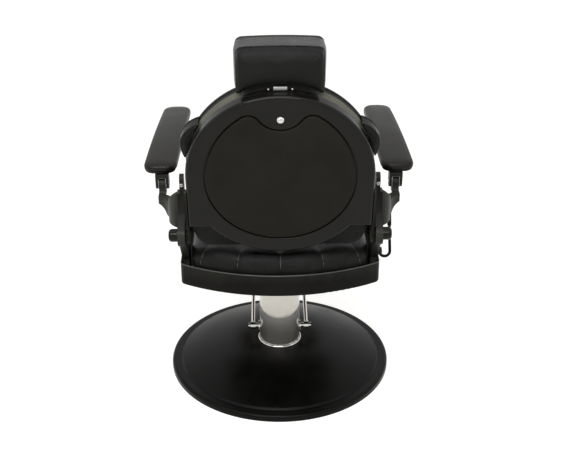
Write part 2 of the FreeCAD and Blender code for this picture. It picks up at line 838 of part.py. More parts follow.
post_leg = new_body("arm_post_leg")
pad(post_leg, "YZ_Plane", "post_inner", OUTER_X, [[
    ("leg_front", FLOOR),
    ("leg_rear", FLOOR),
    ("leg_rear", BAND_TOP, "leg_curve_rear", -1),
    ("pivot_y", "pivot_z - boss_radius", "boss_radius"),
    ("pivot_y + boss_radius", "pivot_z", "boss_radius"),
    ("pivot_y", "pivot_z + boss_radius"),
    ("post_bend_rear - leg_shoulder", "web_top - saddle_ease"),
    ("post_bend_rear - leg_waist", "web_bottom", "leg_curve_front", -1),
    ("leg_front", BAND_TOP),
], ("circle", "pivot_y", "pivot_z", "bolt_radius + run_gap")])
post_blank = two_way("Part::Fuse", "arm_post_blank", post_web, post_leg)
post_relief = new_body("arm_post_relief")
pad(post_relief, "YZ_Plane", "post_inner + lug_thickness", OUTER_X + " + over_cut", [[
    (LUG_REAR + " - lug_width - over_cut", "lug_top - lug_height"),
    (LUG_REAR + " + over_cut", "lug_top - lug_height"),
    (LUG_REAR + " + over_cut", "lug_top + over_cut"),
    (LUG_REAR + " - lug_width - over_cut", "lug_top + over_cut"),
]])
arm_post_left = keep(two_way("Part::Cut", "arm_post_left", post_blank, post_relief), "arm_post_left")
mirrored(arm_post_left, "arm_post_right")

# Recline bolts with their round caps

HINGE_IN = "back_radius + soft_gap"
HINGE_OUT = HINGE_IN + " + hinge_thickness"
pivot_bolt_left = keep(turned("pivot_bolt_left", [
    ("0", HINGE_IN),
    ("bolt_radius", HINGE_IN),
    ("bolt_radius", OUTER_X),
    ("cap_radius", OUTER_X),
    ("cap_radius", OUTER_X + " + cap_length - cap_rounding", "cap_rounding"),
    ("cap_radius - cap_rounding", OUTER_X + " + cap_length"),
    ("0", OUTER_X + " + cap_length"),
]), "pivot_bolt_left")
place(pivot_bolt_left, "0", "pivot_y", "pivot_z", (0, 1, 0), "90")
mirrored(pivot_bolt_left, "pivot_bolt_right")

# Arms: fork, liner, hinge pin, moulded shell and pad, all turned about the hinge pin by the arm's slope


def on_arm(item):
    return place(item, "post_inner + post_step + post_thickness/2", "pin_y", "pin_z", (-1, 0, 0), "arm_slope")


FORK_GAP = "(post_thickness/2 + liner_thickness + fit_gap*2)"
FORK_TOP = "shell_underside"
arm_fork_left = keep(new_body("arm_fork_left"), "arm_fork_left")
pad(arm_fork_left, "YZ_Plane", "-fork_half_width", "fork_half_width", [[
    ("0", "-fork_depth", "fork_depth"),
    ("fork_depth", "0"),
    ("fork_depth", FORK_TOP),
    ("-fork_depth", FORK_TOP),
    ("-fork_depth", "0", "fork_depth"),
], ("circle", "0", "0", "pin_radius + run_gap")])
pocket(arm_fork_left, "XZ_Plane", "-fork_depth - over_cut", "fork_depth + over_cut", [[
    ("-(%s)" % FORK_GAP, "-fork_depth - over_cut"),
    (FORK_GAP, "-fork_depth - over_cut"),
    (FORK_GAP, "shell_underside - fork_bridge"),
    ("-(%s)" % FORK_GAP, "shell_underside - fork_bridge"),
]])
on_arm(arm_fork_left)
mirrored(arm_fork_left, "arm_fork_right")

LINER_OUT = FORK_GAP + " - fit_gap"
LINER_IN = LINER_OUT + " - liner_thickness"
LINER_TOP = "shell_underside - fork_bridge - fit_gap"
arm_liner_left = keep(new_body("arm_liner_left"), "arm_liner_left")
pad(arm_liner_left, "XZ_Plane", "-fork_depth + over_cut", "fork_depth - over_cut", [[
    (LINER_IN, "-fork_depth + liner_foot"),
    (LINER_OUT, "-fork_depth + liner_foot"),
    (LINER_OUT, LINER_TOP),
    ("-(%s)" % LINER_OUT, LINER_TOP),
    ("-(%s)" % LINER_OUT, "-fork_depth + liner_foot"),
    ("-(%s)" % LINER_IN, "-fork_depth + liner_foot"),
    ("-(%s)" % LINER_IN, LINER_TOP + " - liner_thickness"),
    (LINER_IN, LINER_TOP + " - liner_thickness"),
]])
pocket(arm_liner_left, "YZ_Plane", "-fork_half_width", "fork_half_width",
       [("circle", "0", "0", "pin_radius + fit_gap")])
on_arm(arm_liner_left)
mirrored(arm_liner_left, "arm_liner_right")

arm_pin_left = keep(new_body("arm_pin_left"), "arm_pin_left")
pad(arm_pin_left, "YZ_Plane", "-fork_half_width - pin_head", "fork_half_width + pin_head",
    [("circle", "0", "0", "pin_radius")])
on_arm(arm_pin_left)
mirrored(arm_pin_left, "arm_pin_right")


def arm_outline(inset, level):
    """The arm's plan, a tapering bar with rounded ends, moved inwards by a distance."""
    rear = val("arm_rear") - inset
    front = -val("arm_front") + inset
    half_rear = val("arm_rear_width") / 2 - inset
    half_front = val("arm_front_width") / 2 - inset
    shift_rear = val("arm_rear_shift")
    shift_front = val("arm_front_shift")
    cut_rear = val("arm_rear_corner") - inset
    cut_front = val("arm_front_corner") - inset
    points = [
        VECTOR(shift_front - half_front + cut_front, front, level),
        VECTOR(shift_front + half_front - cut_front, front, level),
        VECTOR(shift_front + half_front, front + cut_front, level),
        VECTOR(shift_rear + half_rear, rear - cut_rear, level),
        VECTOR(shift_rear + half_rear - cut_rear, rear, level),
        VECTOR(shift_rear - half_rear + cut_rear, rear, level),
        VECTOR(shift_rear - half_rear, rear - cut_rear, level),
        VECTOR(shift_front - half_front, front + cut_front, level),
    ]
    swell = math.sqrt(0.5) - 0.5
    ahead = cut_front * swell
    behind = cut_rear * swell
    front_bow = VECTOR(0, -val("arm_front_bow"), 0)
    rear_bow = VECTOR(0, val("arm_rear_bow"), 0)
    curved = [front_bow, VECTOR(ahead, -ahead, 0), None, VECTOR(behind, behind, 0), rear_bow,
              VECTOR(-behind, behind, 0), None, VECTOR(-ahead, -ahead, 0)]
    return arc_wire(points, curved)


under = val("shell_underside")
thick = val("shell_thickness")
shell_wires = [arm_outline(val("shell_draw"), under), arm_outline(val("shell_swell"), under + 0.35 * thick),
               arm_outline(val("shell_lip"), under + thick)]
arm_shell_left = solid_feature("arm_shell_left", Part.makeLoft(shell_wires, True, True))
keep(arm_shell_left, "arm_shell_left")
on_arm(arm_shell_left)
mirrored(arm_shell_left, "arm_shell_right")
seat_of_pad = under + thick + val("soft_gap") / 2
thick = val("pad_thickness")
pad_wires = [
    arm_outline(val("pad_foot"), seat_of_pad),
    arm_outline(0.0, seat_of_pad + 0.35 * thick),
    arm_outline(val("pad_shoulder"), seat_of_pad + 0.72 * thick),
    arm_outline(val("pad_crown"), seat_of_pad + thick),
]
arm_pad_left = keep(solid_feature("arm_pad_left", Part.makeLoft(pad_wires, True, False)), "arm_pad_left")
on_arm(arm_pad_left)
mirrored(arm_pad_left, "arm_pad_right")

# Back: every piece drawn upright about the recline axis, then leaned by the back's tilt


def on_back(item):
    return place(item, "0", "pivot_y", "pivot_z", (-1, 0, 0), "back_tilt")


def back_outline(inset):
    """The round back with its two lower ears, moved inwards by a distance."""
    radius = "back_radius - (%s)" % inset
    ear = "ear_level + (%s)" % inset
    notch = "sqrt((%s)^2 - (back_centre - (%s))^2)" % (radius, ear)
    return [
        (radius, "back_centre", radius),
        ("0", "back_centre + " + radius, radius),
        ("-(%s)" % radius, "back_centre"),
        ("-(%s)" % radius, ear),
        ("-(%s)" % notch, ear, radius),
        ("0", "back_centre - (%s)" % radius, radius),
        (notch, ear),
        (radius, ear),
    ]


def panel_outline(inset):
    """The panel's edge: a round foot, two lobes at the top and a hollow between them, moved inwards."""
    radius = "(panel_radius - (%s))" % inset
    lobe = "(panel_lobe_radius - (%s))" % inset
    peak = "(panel_peak - (%s))" % inset
    away = "(panel_lobe - %s)" % radius
    lift = "(panel_peak - panel_lobe_radius)"
    side = "((%s^2 + %s^2 - %s^2)/(-2*(%s + %s)))" % (away, lift, lobe, away, lobe)
    share = "(%s/(%s - %s))" % (side, side, lobe)
    join_x = "(%s - %s + %s*(%s + %s))" % (radius, side, share, away, side)
    join_y = "(back_centre + %s*%s)" % (share, lift)
    both = "((panel_lobe^2 + panel_dip^2)/(2*panel_dip))"
    turn_x = "(panel_lobe - %s*panel_lobe/%s)" % (lobe, both)
    turn_y = "(back_centre + %s - %s*panel_dip/%s)" % (peak, lobe, both)
    hollow = "(%s - %s)" % (both, lobe)
    return [
        (radius, "back_centre", side),
        (join_x, join_y, lobe),
        (turn_x, turn_y, hollow, -1),
        ("0", "back_centre + %s - panel_dip" % peak, hollow, -1),
        ("-" + turn_x, turn_y, lobe),
        ("-" + join_x, join_y, side),
        ("-" + radius, "back_centre", radius),
        ("0", "back_centre - " + radius, radius),
    ]


BACK_FRONT = "back_rear - back_depth"
back_shell = keep(new_body("back_shell"), "back_shell")
pad(back_shell, "XZ_Plane", BACK_FRONT, "back_rear", [back_outline("0")])
fillet(back_shell, "back_rounding", lambda edge: edge.BoundBox.YMin > val("back_rear") - 0.01)
pocket(back_shell, "XZ_Plane", BACK_FRONT + " - over_cut", "back_rear - back_wall",
       [back_outline("back_rim")])
pocket(back_shell, "XZ_Plane", "back_rear - recess_depth", "back_rear + over_cut", [panel_outline("0")])
pocket(back_shell, "XZ_Plane", BACK_FRONT, "back_rear + over_cut",
       [("circle", "0", "knob_level", "stem_radius + fit_gap")])
on_back(back_shell)

def loop_wire(loop, depth):
    """An outline of the back as a wire at one depth, for a loft."""
    edges = []
    for at, corner in enumerate(loop):
        after = loop[(at + 1) % len(loop)]
        start = VECTOR(val(corner[0]), val(corner[1]), 0)
        end = VECTOR(val(after[0]), val(after[1]), 0)
        curve = Part.LineSegment(start, end)
        if len(corner) > 2:
            curve = bent_edge(start, end, val(corner[2]), len(corner) == 3)
        edges.append(curve.toShape())
    wire = Part.Wire(edges)
    wire.Placement = FreeCAD.Placement(VECTOR(0, depth, 0), FreeCAD.Rotation(VECTOR(1, 0, 0), 90))
    return wire


rear = val("back_rear")
proud = val("panel_proud")
panel_wires = [
    loop_wire(panel_outline("panel_groove"), rear - val("recess_depth - fit_gap")),
    loop_wire(panel_outline("panel_groove"), rear - val("over_cut")),
    loop_wire(panel_outline("panel_groove + panel_rolled_edge"), rear + 0.6 * proud),
    loop_wire(panel_outline("panel_groove + panel_crown_edge"), rear + proud),
]
back_panel = keep(solid_feature("back_panel", Part.makeLoft(panel_wires, True, True)), "back_panel")
on_back(back_panel)

BOARD_FRONT = BACK_FRONT + " - board_thickness"
back_board = keep(new_body("back_board"), "back_board")
pad(back_board, "XZ_Plane", BOARD_FRONT, BACK_FRONT, [back_outline("board_inset")])
pocket(back_board, "XZ_Plane", BOARD_FRONT + " - over_cut", BACK_FRONT + " + over_cut",
       [("circle", "0", "knob_level", "stem_radius + fit_gap")])
on_back(back_board)


def cushion_outline(inset, depth):
    """The back cushion's front view: a round top on sides that draw in towards the foot."""
    radius = val("back_cushion_radius") - inset
    middle = val("back_centre")
    foot = val("back_cushion_foot") + inset
    low = val("back_cushion_low_width") - inset
    cut = val("back_cushion_corner") - inset / 2
    points = [
        VECTOR(radius, depth, middle),
        VECTOR(0, depth, middle + radius),
        VECTOR(-radius, depth, middle),
        VECTOR(-low, depth, foot + cut),
        VECTOR(cut - low, depth, foot),
        VECTOR(low - cut, depth, foot),
        VECTOR(low, depth, foot + cut),
    ]
    quarter = radius * (math.sqrt(0.5) - 0.5)
    swell = cut * (math.sqrt(0.5) - 0.5)
    curved = [VECTOR(quarter, 0, quarter), VECTOR(-quarter, 0, quarter), None,
              VECTOR(-swell, 0, -swell), None, VECTOR(swell, 0, -swell), None]
    return arc_wire(points, curved)


board_face = val(BOARD_FRONT + " - soft_gap")
front_depth = val("back_cushion_depth")
cushion_wires = [
    cushion_outline(val("back_cushion_seat"), board_face),
    cushion_outline(0.0, board_face - 0.30 * front_depth),
    cushion_outline(val("cushion_draw"), board_face - 0.62 * front_depth),
    cushion_outline(val("back_cushion_shoulder"), board_face - 0.88 * front_depth),
    cushion_outline(val("back_cushion_crown"), board_face - front_depth),
]
cushion_shape = Part.makeLoft(cushion_wires, True, False)
GUIDE_HALF = "bar_width/2 + run_gap*4 + guide_wall"
GUIDE_FRONT = BOARD_FRONT + " - bar_thickness - run_gap*8 - guide_wall*2"
slot_half = val(GUIDE_HALF + " + soft_gap")
slot_front = val(GUIDE_FRONT + " - soft_gap")
slot_foot = val("guide_bottom - soft_gap")
slot = Part.makeBox(2 * slot_half, board_face - slot_front + val("over_cut"), val("head_top") - slot_foot,
                    VECTOR(-slot_half, slot_front, slot_foot))
back_cushion = keep(solid_feature("back_cushion", cushion_shape.cut(slot)), "back_cushion")
on_back(back_cushion)

WING_SEAT = "back_cushion_radius + soft_gap*2"
WING_LOW = "wing_level - wing_half_height"
WING_HIGH = "wing_level + wing_half_height"
WING_LOW_X = "sqrt((%s)^2 - (%s - back_centre)^2)" % (WING_SEAT, WING_LOW)
WING_HIGH_X = "sqrt((%s)^2 - (%s - back_centre)^2)" % (WING_SEAT, WING_HIGH)
WING_REAR = BOARD_FRONT + " - wing_set_in"
back_wing_left = keep(new_body("back_wing_left"), "back_wing_left")
pad(back_wing_left, "XZ_Plane", WING_REAR + " - wing_depth", WING_REAR, [[
    (WING_LOW_X, WING_LOW, "wing_half_height*1.9"),
    ("wing_reach", "wing_level", "wing_half_height*1.4"),
    (WING_HIGH_X, WING_HIGH, WING_SEAT, -1),
]])
on_back(back_wing_left)
mirrored(back_wing_left, "back_wing_right")

back_hinge_left = keep(new_body("back_hinge_left"), "back_hinge_left")
pad(back_hinge_left, "YZ_Plane", HINGE_IN, HINGE_OUT, [[
    ("0", "-hinge_radius", "hinge_radius"),
    ("hinge_radius", "0"),
    ("back_rear - hinge_set_in", "ear_level + hinge_foot"),
    ("back_rear - hinge_set_in", "hinge_top - hinge_corner", "hinge_corner"),
    ("back_rear - hinge_set_in - hinge_corner", "hinge_top", "hinge_corner"),
    (BACK_FRONT + " + hinge_lead", "hinge_top - hinge_corner"),
    (BACK_FRONT + " + hinge_lead", "ear_level + hinge_foot", "hinge_curve", -1),
    ("-hinge_radius", "0", "hinge_radius"),
], ("circle", "0", "0", "bolt_radius + run_gap")])
pad(back_hinge_left, "YZ_Plane", HINGE_IN, "post_inner - soft_gap",
    [("circle", "0", "0", "spacer_radius"), ("circle", "0", "0", "bolt_radius + run_gap")])
on_back(back_hinge_left)
mirrored(back_hinge_left, "back_hinge_right")

# Headrest: guide, bezel and latch on the back, sliding bar and arched cushion above

BAR_FRONT = GUIDE_FRONT + " + guide_wall + run_gap*4"
BAR_REAR = BAR_FRONT + " + bar_thickness"


def flat_ring(half, front, rear):
    return [("-(%s)" % half, front), (half, front), (half, rear), ("-(%s)" % half, rear)]


headrest_guide = keep(new_body("headrest_guide"), "headrest_guide")
pad(headrest_guide, "XY_Plane", "guide_bottom", "guide_top", [
    flat_ring(GUIDE_HALF, GUIDE_FRONT, BOARD_FRONT),
    flat_ring("bar_width/2 + run_gap*4", BAR_FRONT + " - run_gap*4", BAR_REAR + " + run_gap*4"),
])
on_back(headrest_guide)

BEZEL_SEAT = "back_cushion_radius + soft_gap"
BEZEL_END = "back_centre + sqrt((%s)^2 - bezel_half_width^2)" % BEZEL_SEAT
BEZEL_TOP = "back_centre + %s + bezel_height" % BEZEL_SEAT
BEZEL_RISE = "(%s - (%s))" % (BEZEL_TOP, BEZEL_END)
headrest_bezel = keep(new_body("headrest_bezel"), "headrest_bezel")
BEZEL_REAR = BACK_FRONT + " - soft_gap"
BEZEL_RADIUS = "(bezel_half_width^2 + %s^2)/(2*%s)" % (BEZEL_RISE, BEZEL_RISE)
pad(headrest_bezel, "XZ_Plane", BEZEL_REAR + " - bezel_depth", BEZEL_REAR, [[
    ("bezel_half_width", BEZEL_END, BEZEL_RADIUS),
    ("0", BEZEL_TOP, BEZEL_RADIUS),
    ("-bezel_half_width", BEZEL_END, BEZEL_SEAT, -1),
]])
pocket(headrest_bezel, "XY_Plane", "guide_top - bezel_slot_drop", BEZEL_TOP + " + over_cut",
       [flat_ring("bar_width/2 + fit_gap", BAR_FRONT + " - fit_gap", BAR_REAR + " + fit_gap")])
on_back(headrest_bezel)

headrest_latch = keep(new_body("headrest_latch"), "headrest_latch")
LATCH_LOW = "back_top + latch_lift"
pad(headrest_latch, "XZ_Plane", BEZEL_REAR, BEZEL_REAR + " + latch_thickness", [[
    ("-bar_width/2", LATCH_LOW),
    ("bar_width/2", LATCH_LOW),
    ("bar_width/2", LATCH_LOW + " + latch_height"),
    ("-bar_width/2", LATCH_LOW + " + latch_height"),
]])
on_back(headrest_latch)

headrest_bar = keep(new_body("headrest_bar"), "headrest_bar")
pad(headrest_bar, "XY_Plane", "bar_bottom", "bar_top", [flat_ring("bar_width/2", BAR_FRONT, BAR_REAR)])
on_back(headrest_bar)

HEAD_FRONT = "head_rear - head_depth"
HEAD_SPAN = "(head_depth^2 + head_fall^2)"
HEAD_TOP_CURVE = "(%s/4 + head_crown^2)/(2*head_crown)" % HEAD_SPAN
HEAD_REAR_CURVE = "((head_top - head_low)^2/4 + head_crown^2)/(2*head_crown)"
headrest_pad = keep(new_body("headrest_pad"), "headrest_pad")
pad(headrest_pad, "YZ_Plane", "-head_half_width", "head_half_width", [[
    (HEAD_FRONT, "head_low + head_foot"),
    ("head_rear", "head_low", HEAD_REAR_CURVE),
    ("head_rear", "head_top", HEAD_TOP_CURVE),
    (HEAD_FRONT, "head_top - head_fall"),
]])
fillet(headrest_pad, "head_rounding", lambda edge: True)
HEAD_ARCH_RISE = "(head_arch - head_low)"
HEAD_ARCH = "(head_half_width^2 + %s^2)/(2*%s)" % (HEAD_ARCH_RISE, HEAD_ARCH_RISE)
pocket(headrest_pad, "XZ_Plane", HEAD_FRONT + " - head_rounding", "head_rear + head_rounding", [[
    ("-head_half_width", "head_low - head_arch/4"),
    ("head_half_width", "head_low - head_arch/4"),
    ("head_half_width", "head_low", HEAD_ARCH),
    ("0", "head_arch", HEAD_ARCH),
    ("-head_half_width", "head_low"),
]])
pocket(headrest_pad, "XY_Plane", "head_low - head_foot", "bar_top + soft_gap",
       [flat_ring("bar_width/2 + soft_gap", BAR_FRONT + " - soft_gap", BAR_REAR + " + soft_gap")])
on_back(headrest_pad)

lock_knob = keep(turned("lock_knob", [
    ("0", BOARD_FRONT + " + over_cut"),
    ("stem_radius", BOARD_FRONT + " + over_cut"),
    ("stem_radius", "back_rear + soft_gap"),
    ("knob_radius", "back_rear + soft_gap"),
    ("knob_radius", "back_rear + soft_gap + knob_edge", "knob_radius*1.1"),
    ("stem_radius/2", "back_rear + soft_gap + knob_height"),
    ("0", "back_rear + soft_gap + knob_height"),
]), "lock_knob")
place(lock_knob, "0", "pivot_y + knob_level*sin(back_tilt)", "pivot_z + knob_level*cos(back_tilt)",
      (-1, 0, 0), "90 + back_tilt")

# Recline lever on the sitter's right

LEVER_X = "-seat_half_width - lever_offset"
lever_pin = keep(new_body("lever_pin"), "lever_pin")
pad(lever_pin, "YZ_Plane", LEVER_X + " - lever_hub_width - over_cut", "-seat_half_width",
    [("circle", "lever_y", "lever_z", "lever_pin_radius")])
pad(lever_pin, "YZ_Plane", "-seat_half_width - lever_boss", "-seat_half_width",
    [("circle", "lever_y", "lever_z", "lever_hub_radius + lever_boss_lip")])

HOOK_X = LEVER_X + " - lever_hub_width/2 - lever_bend"
ROD_X = HOOK_X + " - lever_bend"


def lever_drum(label, radius, low, high):
    """A round piece on the lever's axis."""
    drum = doc.addObject("Part::Cylinder", label)
    bind(drum, "Radius", radius)
    bind(drum, "Height", "(%s) - (%s)" % (high, low))
    return place(drum, low, "lever_y", "lever_z", (0, 1, 0), "90")


lever_hook = doc.addObject("Part::Torus", "lever_hook")
bind(lever_hook, "Radius1", "lever_bend")
bind(lever_hook, "Radius2", "lever_rod_radius")
lever_hook.Angle3 = 180
place(lever_hook, HOOK_X, "lever_y", "lever_z", (1, 0, 0), "lever_lean - 90")
lever_rod = doc.addObject("Part::Cylinder", "lever_rod")
bind(lever_rod, "Radius", "lever_rod_radius")
bind(lever_rod, "Height", "lever_length")
place(lever_rod, ROD_X, "lever_y", "lever_z", (1, 0, 0), "lever_lean")
lever_bar = two_way("Part::Fuse", "lever_bar", lever_hook, lever_rod)
lever_hub = lever_drum("lever_hub", "lever_hub_radius", LEVER_X + " - lever_hub_width", LEVER_X)
lever_blank = two_way("Part::Fuse", "lever_blank", lever_hub, lever_bar)
lever_bore = lever_drum("lever_bore", "lever_pin_radius + run_gap",
                        LEVER_X + " - lever_hub_width - over_cut", LEVER_X + " + over_cut")
recline_lever = keep(two_way("Part::Cut", "recline_lever", lever_blank, lever_bore), "recline_lever")

lever_grip = keep(turned("lever_grip", [
    ("lever_rod_radius + fit_gap", "lever_length - lever_grip_length"),
    ("lever_grip_radius", "lever_length - lever_grip_length"),
    ("lever_grip_radius", "lever_length - grip_end", "grip_crown"),
    ("lever_grip_radius - grip_taper", "lever_length + grip_end"),
    ("0", "lever_length + grip_end"),
    ("0", "lever_length + fit_gap"),
    ("lever_rod_radius + fit_gap", "lever_length + fit_gap"),
]), "lever_grip")
place(lever_grip, ROD_X, "lever_y", "lever_z", (1, 0, 0), "lever_lean")

# Footrest: brackets under the tub, two arms, a calf pad and a hinged foot plate


def on_foot(item):
    return place(item, "0", "foot_pivot_y", "foot_pivot_z", (1, 0, 0), "foot_drop")


BRACKET_OUT = "foot_bracket_x + foot_bracket_thickness"
foot_bracket_left = keep(new_body("foot_bracket_left"), "foot_bracket_left")
pad(foot_bracket_left, "YZ_Plane", "foot_bracket_x", BRACKET_OUT, [[
    ("foot_pivot_y", "foot_pivot_z - foot_arm_half", "foot_arm_half"),
    ("foot_pivot_y + foot_arm_half", "foot_pivot_z"),
    ("foot_pivot_y + bracket_rear", "seat_bottom"),
    ("foot_pivot_y - bracket_front", "seat_bottom"),
    ("foot_pivot_y - foot_arm_half", "foot_pivot_z", "foot_arm_half"),
]])
FOOT_IN = BRACKET_OUT + " + soft_gap"
FOOT_OUT = FOOT_IN + " + foot_arm_thickness"
pad(foot_bracket_left, "YZ_Plane", "foot_bracket_x", FOOT_OUT + " + foot_pin_proud",
    [("circle", "foot_pivot_y", "foot_pivot_z", "foot_pin_radius")])
mirrored(foot_bracket_left, "foot_bracket_right")

foot_arm_left = keep(new_body("foot_arm_left"), "foot_arm_left")
pad(foot_arm_left, "YZ_Plane", FOOT_IN, FOOT_OUT, [[
    ("0", "-foot_arm_half", "foot_arm_half"),
    ("foot_arm_half", "0", "foot_arm_half"),
    ("0", "foot_arm_half"),
    ("-foot_arm_length", "foot_arm_half", "foot_arm_half"),
    ("-foot_arm_length - foot_arm_half", "0", "foot_arm_half"),
    ("-foot_arm_length", "-foot_arm_half"),
], ("circle", "0", "0", "foot_pin_radius + run_gap"),
    ("circle", "-foot_arm_length", "0", "foot_rod_radius + run_gap")])
on_foot(foot_arm_left)
mirrored(foot_arm_left, "foot_arm_right")

calf_board = keep(new_body("calf_board"), "calf_board")
pad(calf_board, "XY_Plane", "foot_arm_half", "foot_arm_half + calf_board", [[
    ("-(%s)" % FOOT_OUT, "-calf_end + calf_margin"),
    (FOOT_OUT, "-calf_end + calf_margin"),
    (FOOT_OUT, "-calf_start - calf_margin"),
    ("-(%s)" % FOOT_OUT, "-calf_start - calf_margin"),
]])
fillet(calf_board, "mount_plate_corner/2", upright)
on_foot(calf_board)


def calf_outline(inset, level):
    half_width = val(FOOT_OUT) - inset
    near = -val("calf_start") - inset
    far = -val("calf_end") + inset
    cut = val("calf_corner") - inset
    points = [
        VECTOR(cut - half_width, far, level), VECTOR(half_width - cut, far, level),
        VECTOR(half_width, far + cut, level), VECTOR(half_width, near - cut, level),
        VECTOR(half_width - cut, near, level), VECTOR(cut - half_width, near, level),
        VECTOR(-half_width, near - cut, level), VECTOR(-half_width, far + cut, level),
    ]
    swell = cut * (math.sqrt(0.5) - 0.5)
    ends = VECTOR(0, val("calf_end_bow"), 0)
    sides = VECTOR(val("calf_side_bow"), 0, 0)
    curved = [-ends, VECTOR(swell, -swell, 0), sides, VECTOR(swell, swell, 0),
              ends, VECTOR(-swell, swell, 0), -sides, VECTOR(-swell, -swell, 0)]
    return arc_wire(points, curved)


calf_seat = val("foot_arm_half + calf_board + soft_gap/2")
thick = val("calf_thickness")
calf_wires = [
    calf_outline(val("calf_foot"), calf_seat),
    calf_outline(0.0, calf_seat + 0.4 * thick),
    calf_outline(val("calf_shoulder"), calf_seat + 0.75 * thick),
    calf_outline(val("calf_crown"), calf_seat + thick),
]
calf_pad = keep(solid_feature("calf_pad", Part.makeLoft(calf_wires, True, False)), "calf_pad")
on_foot(calf_pad)

foot_rod = keep(new_body("foot_rod"), "foot_rod")
pad(foot_rod, "YZ_Plane", "-(%s) - foot_rod_proud" % FOOT_OUT, FOOT_OUT + " + foot_rod_proud",
    [("circle", "-foot_arm_length", "0", "foot_rod_radius")])
on_foot(foot_rod)


def on_plate(item):
    return place(item, "0", "foot_pivot_y - foot_arm_length*cos(foot_drop)",
                 "foot_pivot_z - foot_arm_length*sin(foot_drop)", (-1, 0, 0), "foot_tilt")


foot_plate = keep(new_body("foot_plate"), "foot_plate")
PLATE_TOP = "-foot_barrel_radius + foot_plate_thickness"
pad(foot_plate, "XY_Plane", "-foot_barrel_radius", PLATE_TOP, [[
    ("-foot_plate_half_width", "-foot_plate_reach", "foot_plate_half_width*3"),
    ("foot_plate_half_width", "-foot_plate_reach"),
    ("foot_plate_half_width", "0"),
    ("-foot_plate_half_width", "0"),
]])
fillet(foot_plate, "mount_plate_corner", lambda edge: upright(edge) and edge.CenterOfMass.y < -1)
pad(foot_plate, "YZ_Plane", "-foot_plate_half_width", "foot_plate_half_width",
    [("circle", "0", "0", "foot_barrel_radius")])
pocket(foot_plate, "YZ_Plane", "-foot_plate_half_width - over_cut", "foot_plate_half_width + over_cut",
       [("circle", "0", "0", "foot_rod_radius + run_gap")])
on_plate(foot_plate)

foot_tread = keep(new_body("foot_tread"), "foot_tread")
pad(foot_tread, "XY_Plane", PLATE_TOP, PLATE_TOP + " + foot_tread_thickness", [[
    ("-foot_plate_half_width + tread_side", "-foot_plate_reach + tread_front"),
    ("foot_plate_half_width - tread_side", "-foot_plate_reach + tread_front"),
    ("foot_plate_half_width - tread_side", "-foot_barrel_radius - tread_rear"),
    ("-foot_plate_half_width + tread_side", "-foot_barrel_radius - tread_rear"),
]])
fillet(foot_tread, "mount_plate_corner/2", upright)
on_plate(foot_tread)

# Check every object, then write one file for each piece

doc.recompute()
faults = [item.Label for item in doc.Objects if "Invalid" in item.State or "Error" in item.State]
for item in nodes:
    if item.Shape.isNull() or not item.Shape.isValid() or len(item.Shape.Solids) != 1:
        faults.append(item.Label)
if faults:
    raise RuntimeError("faulty pieces: " + ", ".join(faults))
os.makedirs("parts", exist_ok=True)
for item in nodes:
    item.Shape.exportStep("parts/" + item.Label + ".step")
print("%d pieces written" % len(nodes))
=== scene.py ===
import bpy
import json
import math
import numpy as np
from mathutils import Matrix, Vector
from mathutils.bvhtree import BVHTree


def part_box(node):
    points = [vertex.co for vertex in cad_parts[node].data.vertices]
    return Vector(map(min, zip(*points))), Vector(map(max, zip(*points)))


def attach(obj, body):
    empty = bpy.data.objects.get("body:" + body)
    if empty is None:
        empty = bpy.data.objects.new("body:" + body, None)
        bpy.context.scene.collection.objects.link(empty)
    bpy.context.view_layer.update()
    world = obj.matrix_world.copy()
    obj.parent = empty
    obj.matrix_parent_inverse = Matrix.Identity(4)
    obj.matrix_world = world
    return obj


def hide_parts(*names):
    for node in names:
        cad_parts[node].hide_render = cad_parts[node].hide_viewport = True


# The looks of a barber chair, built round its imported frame. Metres, +Z up, the sitter faces -Y.

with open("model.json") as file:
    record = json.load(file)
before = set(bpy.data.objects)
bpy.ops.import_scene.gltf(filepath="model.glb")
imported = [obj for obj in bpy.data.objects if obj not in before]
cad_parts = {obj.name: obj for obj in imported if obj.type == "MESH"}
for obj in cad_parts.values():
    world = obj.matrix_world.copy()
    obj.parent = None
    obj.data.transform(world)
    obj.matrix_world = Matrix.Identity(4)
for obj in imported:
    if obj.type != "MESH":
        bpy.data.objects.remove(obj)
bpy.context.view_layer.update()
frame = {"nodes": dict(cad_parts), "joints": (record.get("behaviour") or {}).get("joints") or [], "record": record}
NODES = frame["nodes"]
JOINTS = {joint["name"]: joint for joint in frame["joints"]}
SCENE = bpy.context.scene
MM = 0.001
SIDES = (("left", 1.0), ("right", -1.0))

# The frames in which the back, the arms and the footrest are drawn

ACROSS = Vector((1.0, 0.0, 0.0))
ARM_SLOPE = math.radians(4.0)
FOOT_DROP = math.radians(39.7)
PLATE_TILT = math.radians(12.0)


def joint_place(name):
    return Matrix.Translation(Vector(JOINTS[name]["pos_m"]))


def back_frame():
    """Across, rearward and up the back, from the recline axis."""
    turn = Matrix((ACROSS, Vector(JOINTS["lock_turn"]["axis"]), Vector(JOINTS["headrest_slide"]["axis"])))
    return joint_place("back_recline") @ turn.transposed().to_4x4()


BACK = back_frame()
FOOT = joint_place("footrest_rise") @ Matrix.Rotation(FOOT_DROP, 4, "X")
PLATE = joint_place("foot_flip") @ Matrix.Rotation(-PLATE_TILT, 4, "X")

# Materials

EDGE_ROUND = 0.0012
BLACK_WEAR = (0.05, 0.05, 0.045)


def map_range(tree, value, source, target):
    """A value moved from one range to another, and held within it."""
    node = tree.nodes.new("ShaderNodeMapRange")
    for socket, number in zip(("From Min", "From Max", "To Min", "To Max"), (*source, *target)):
        node.inputs[socket].default_value = number
    tree.links.new(value, node.inputs["Value"])
    return node.outputs["Result"]


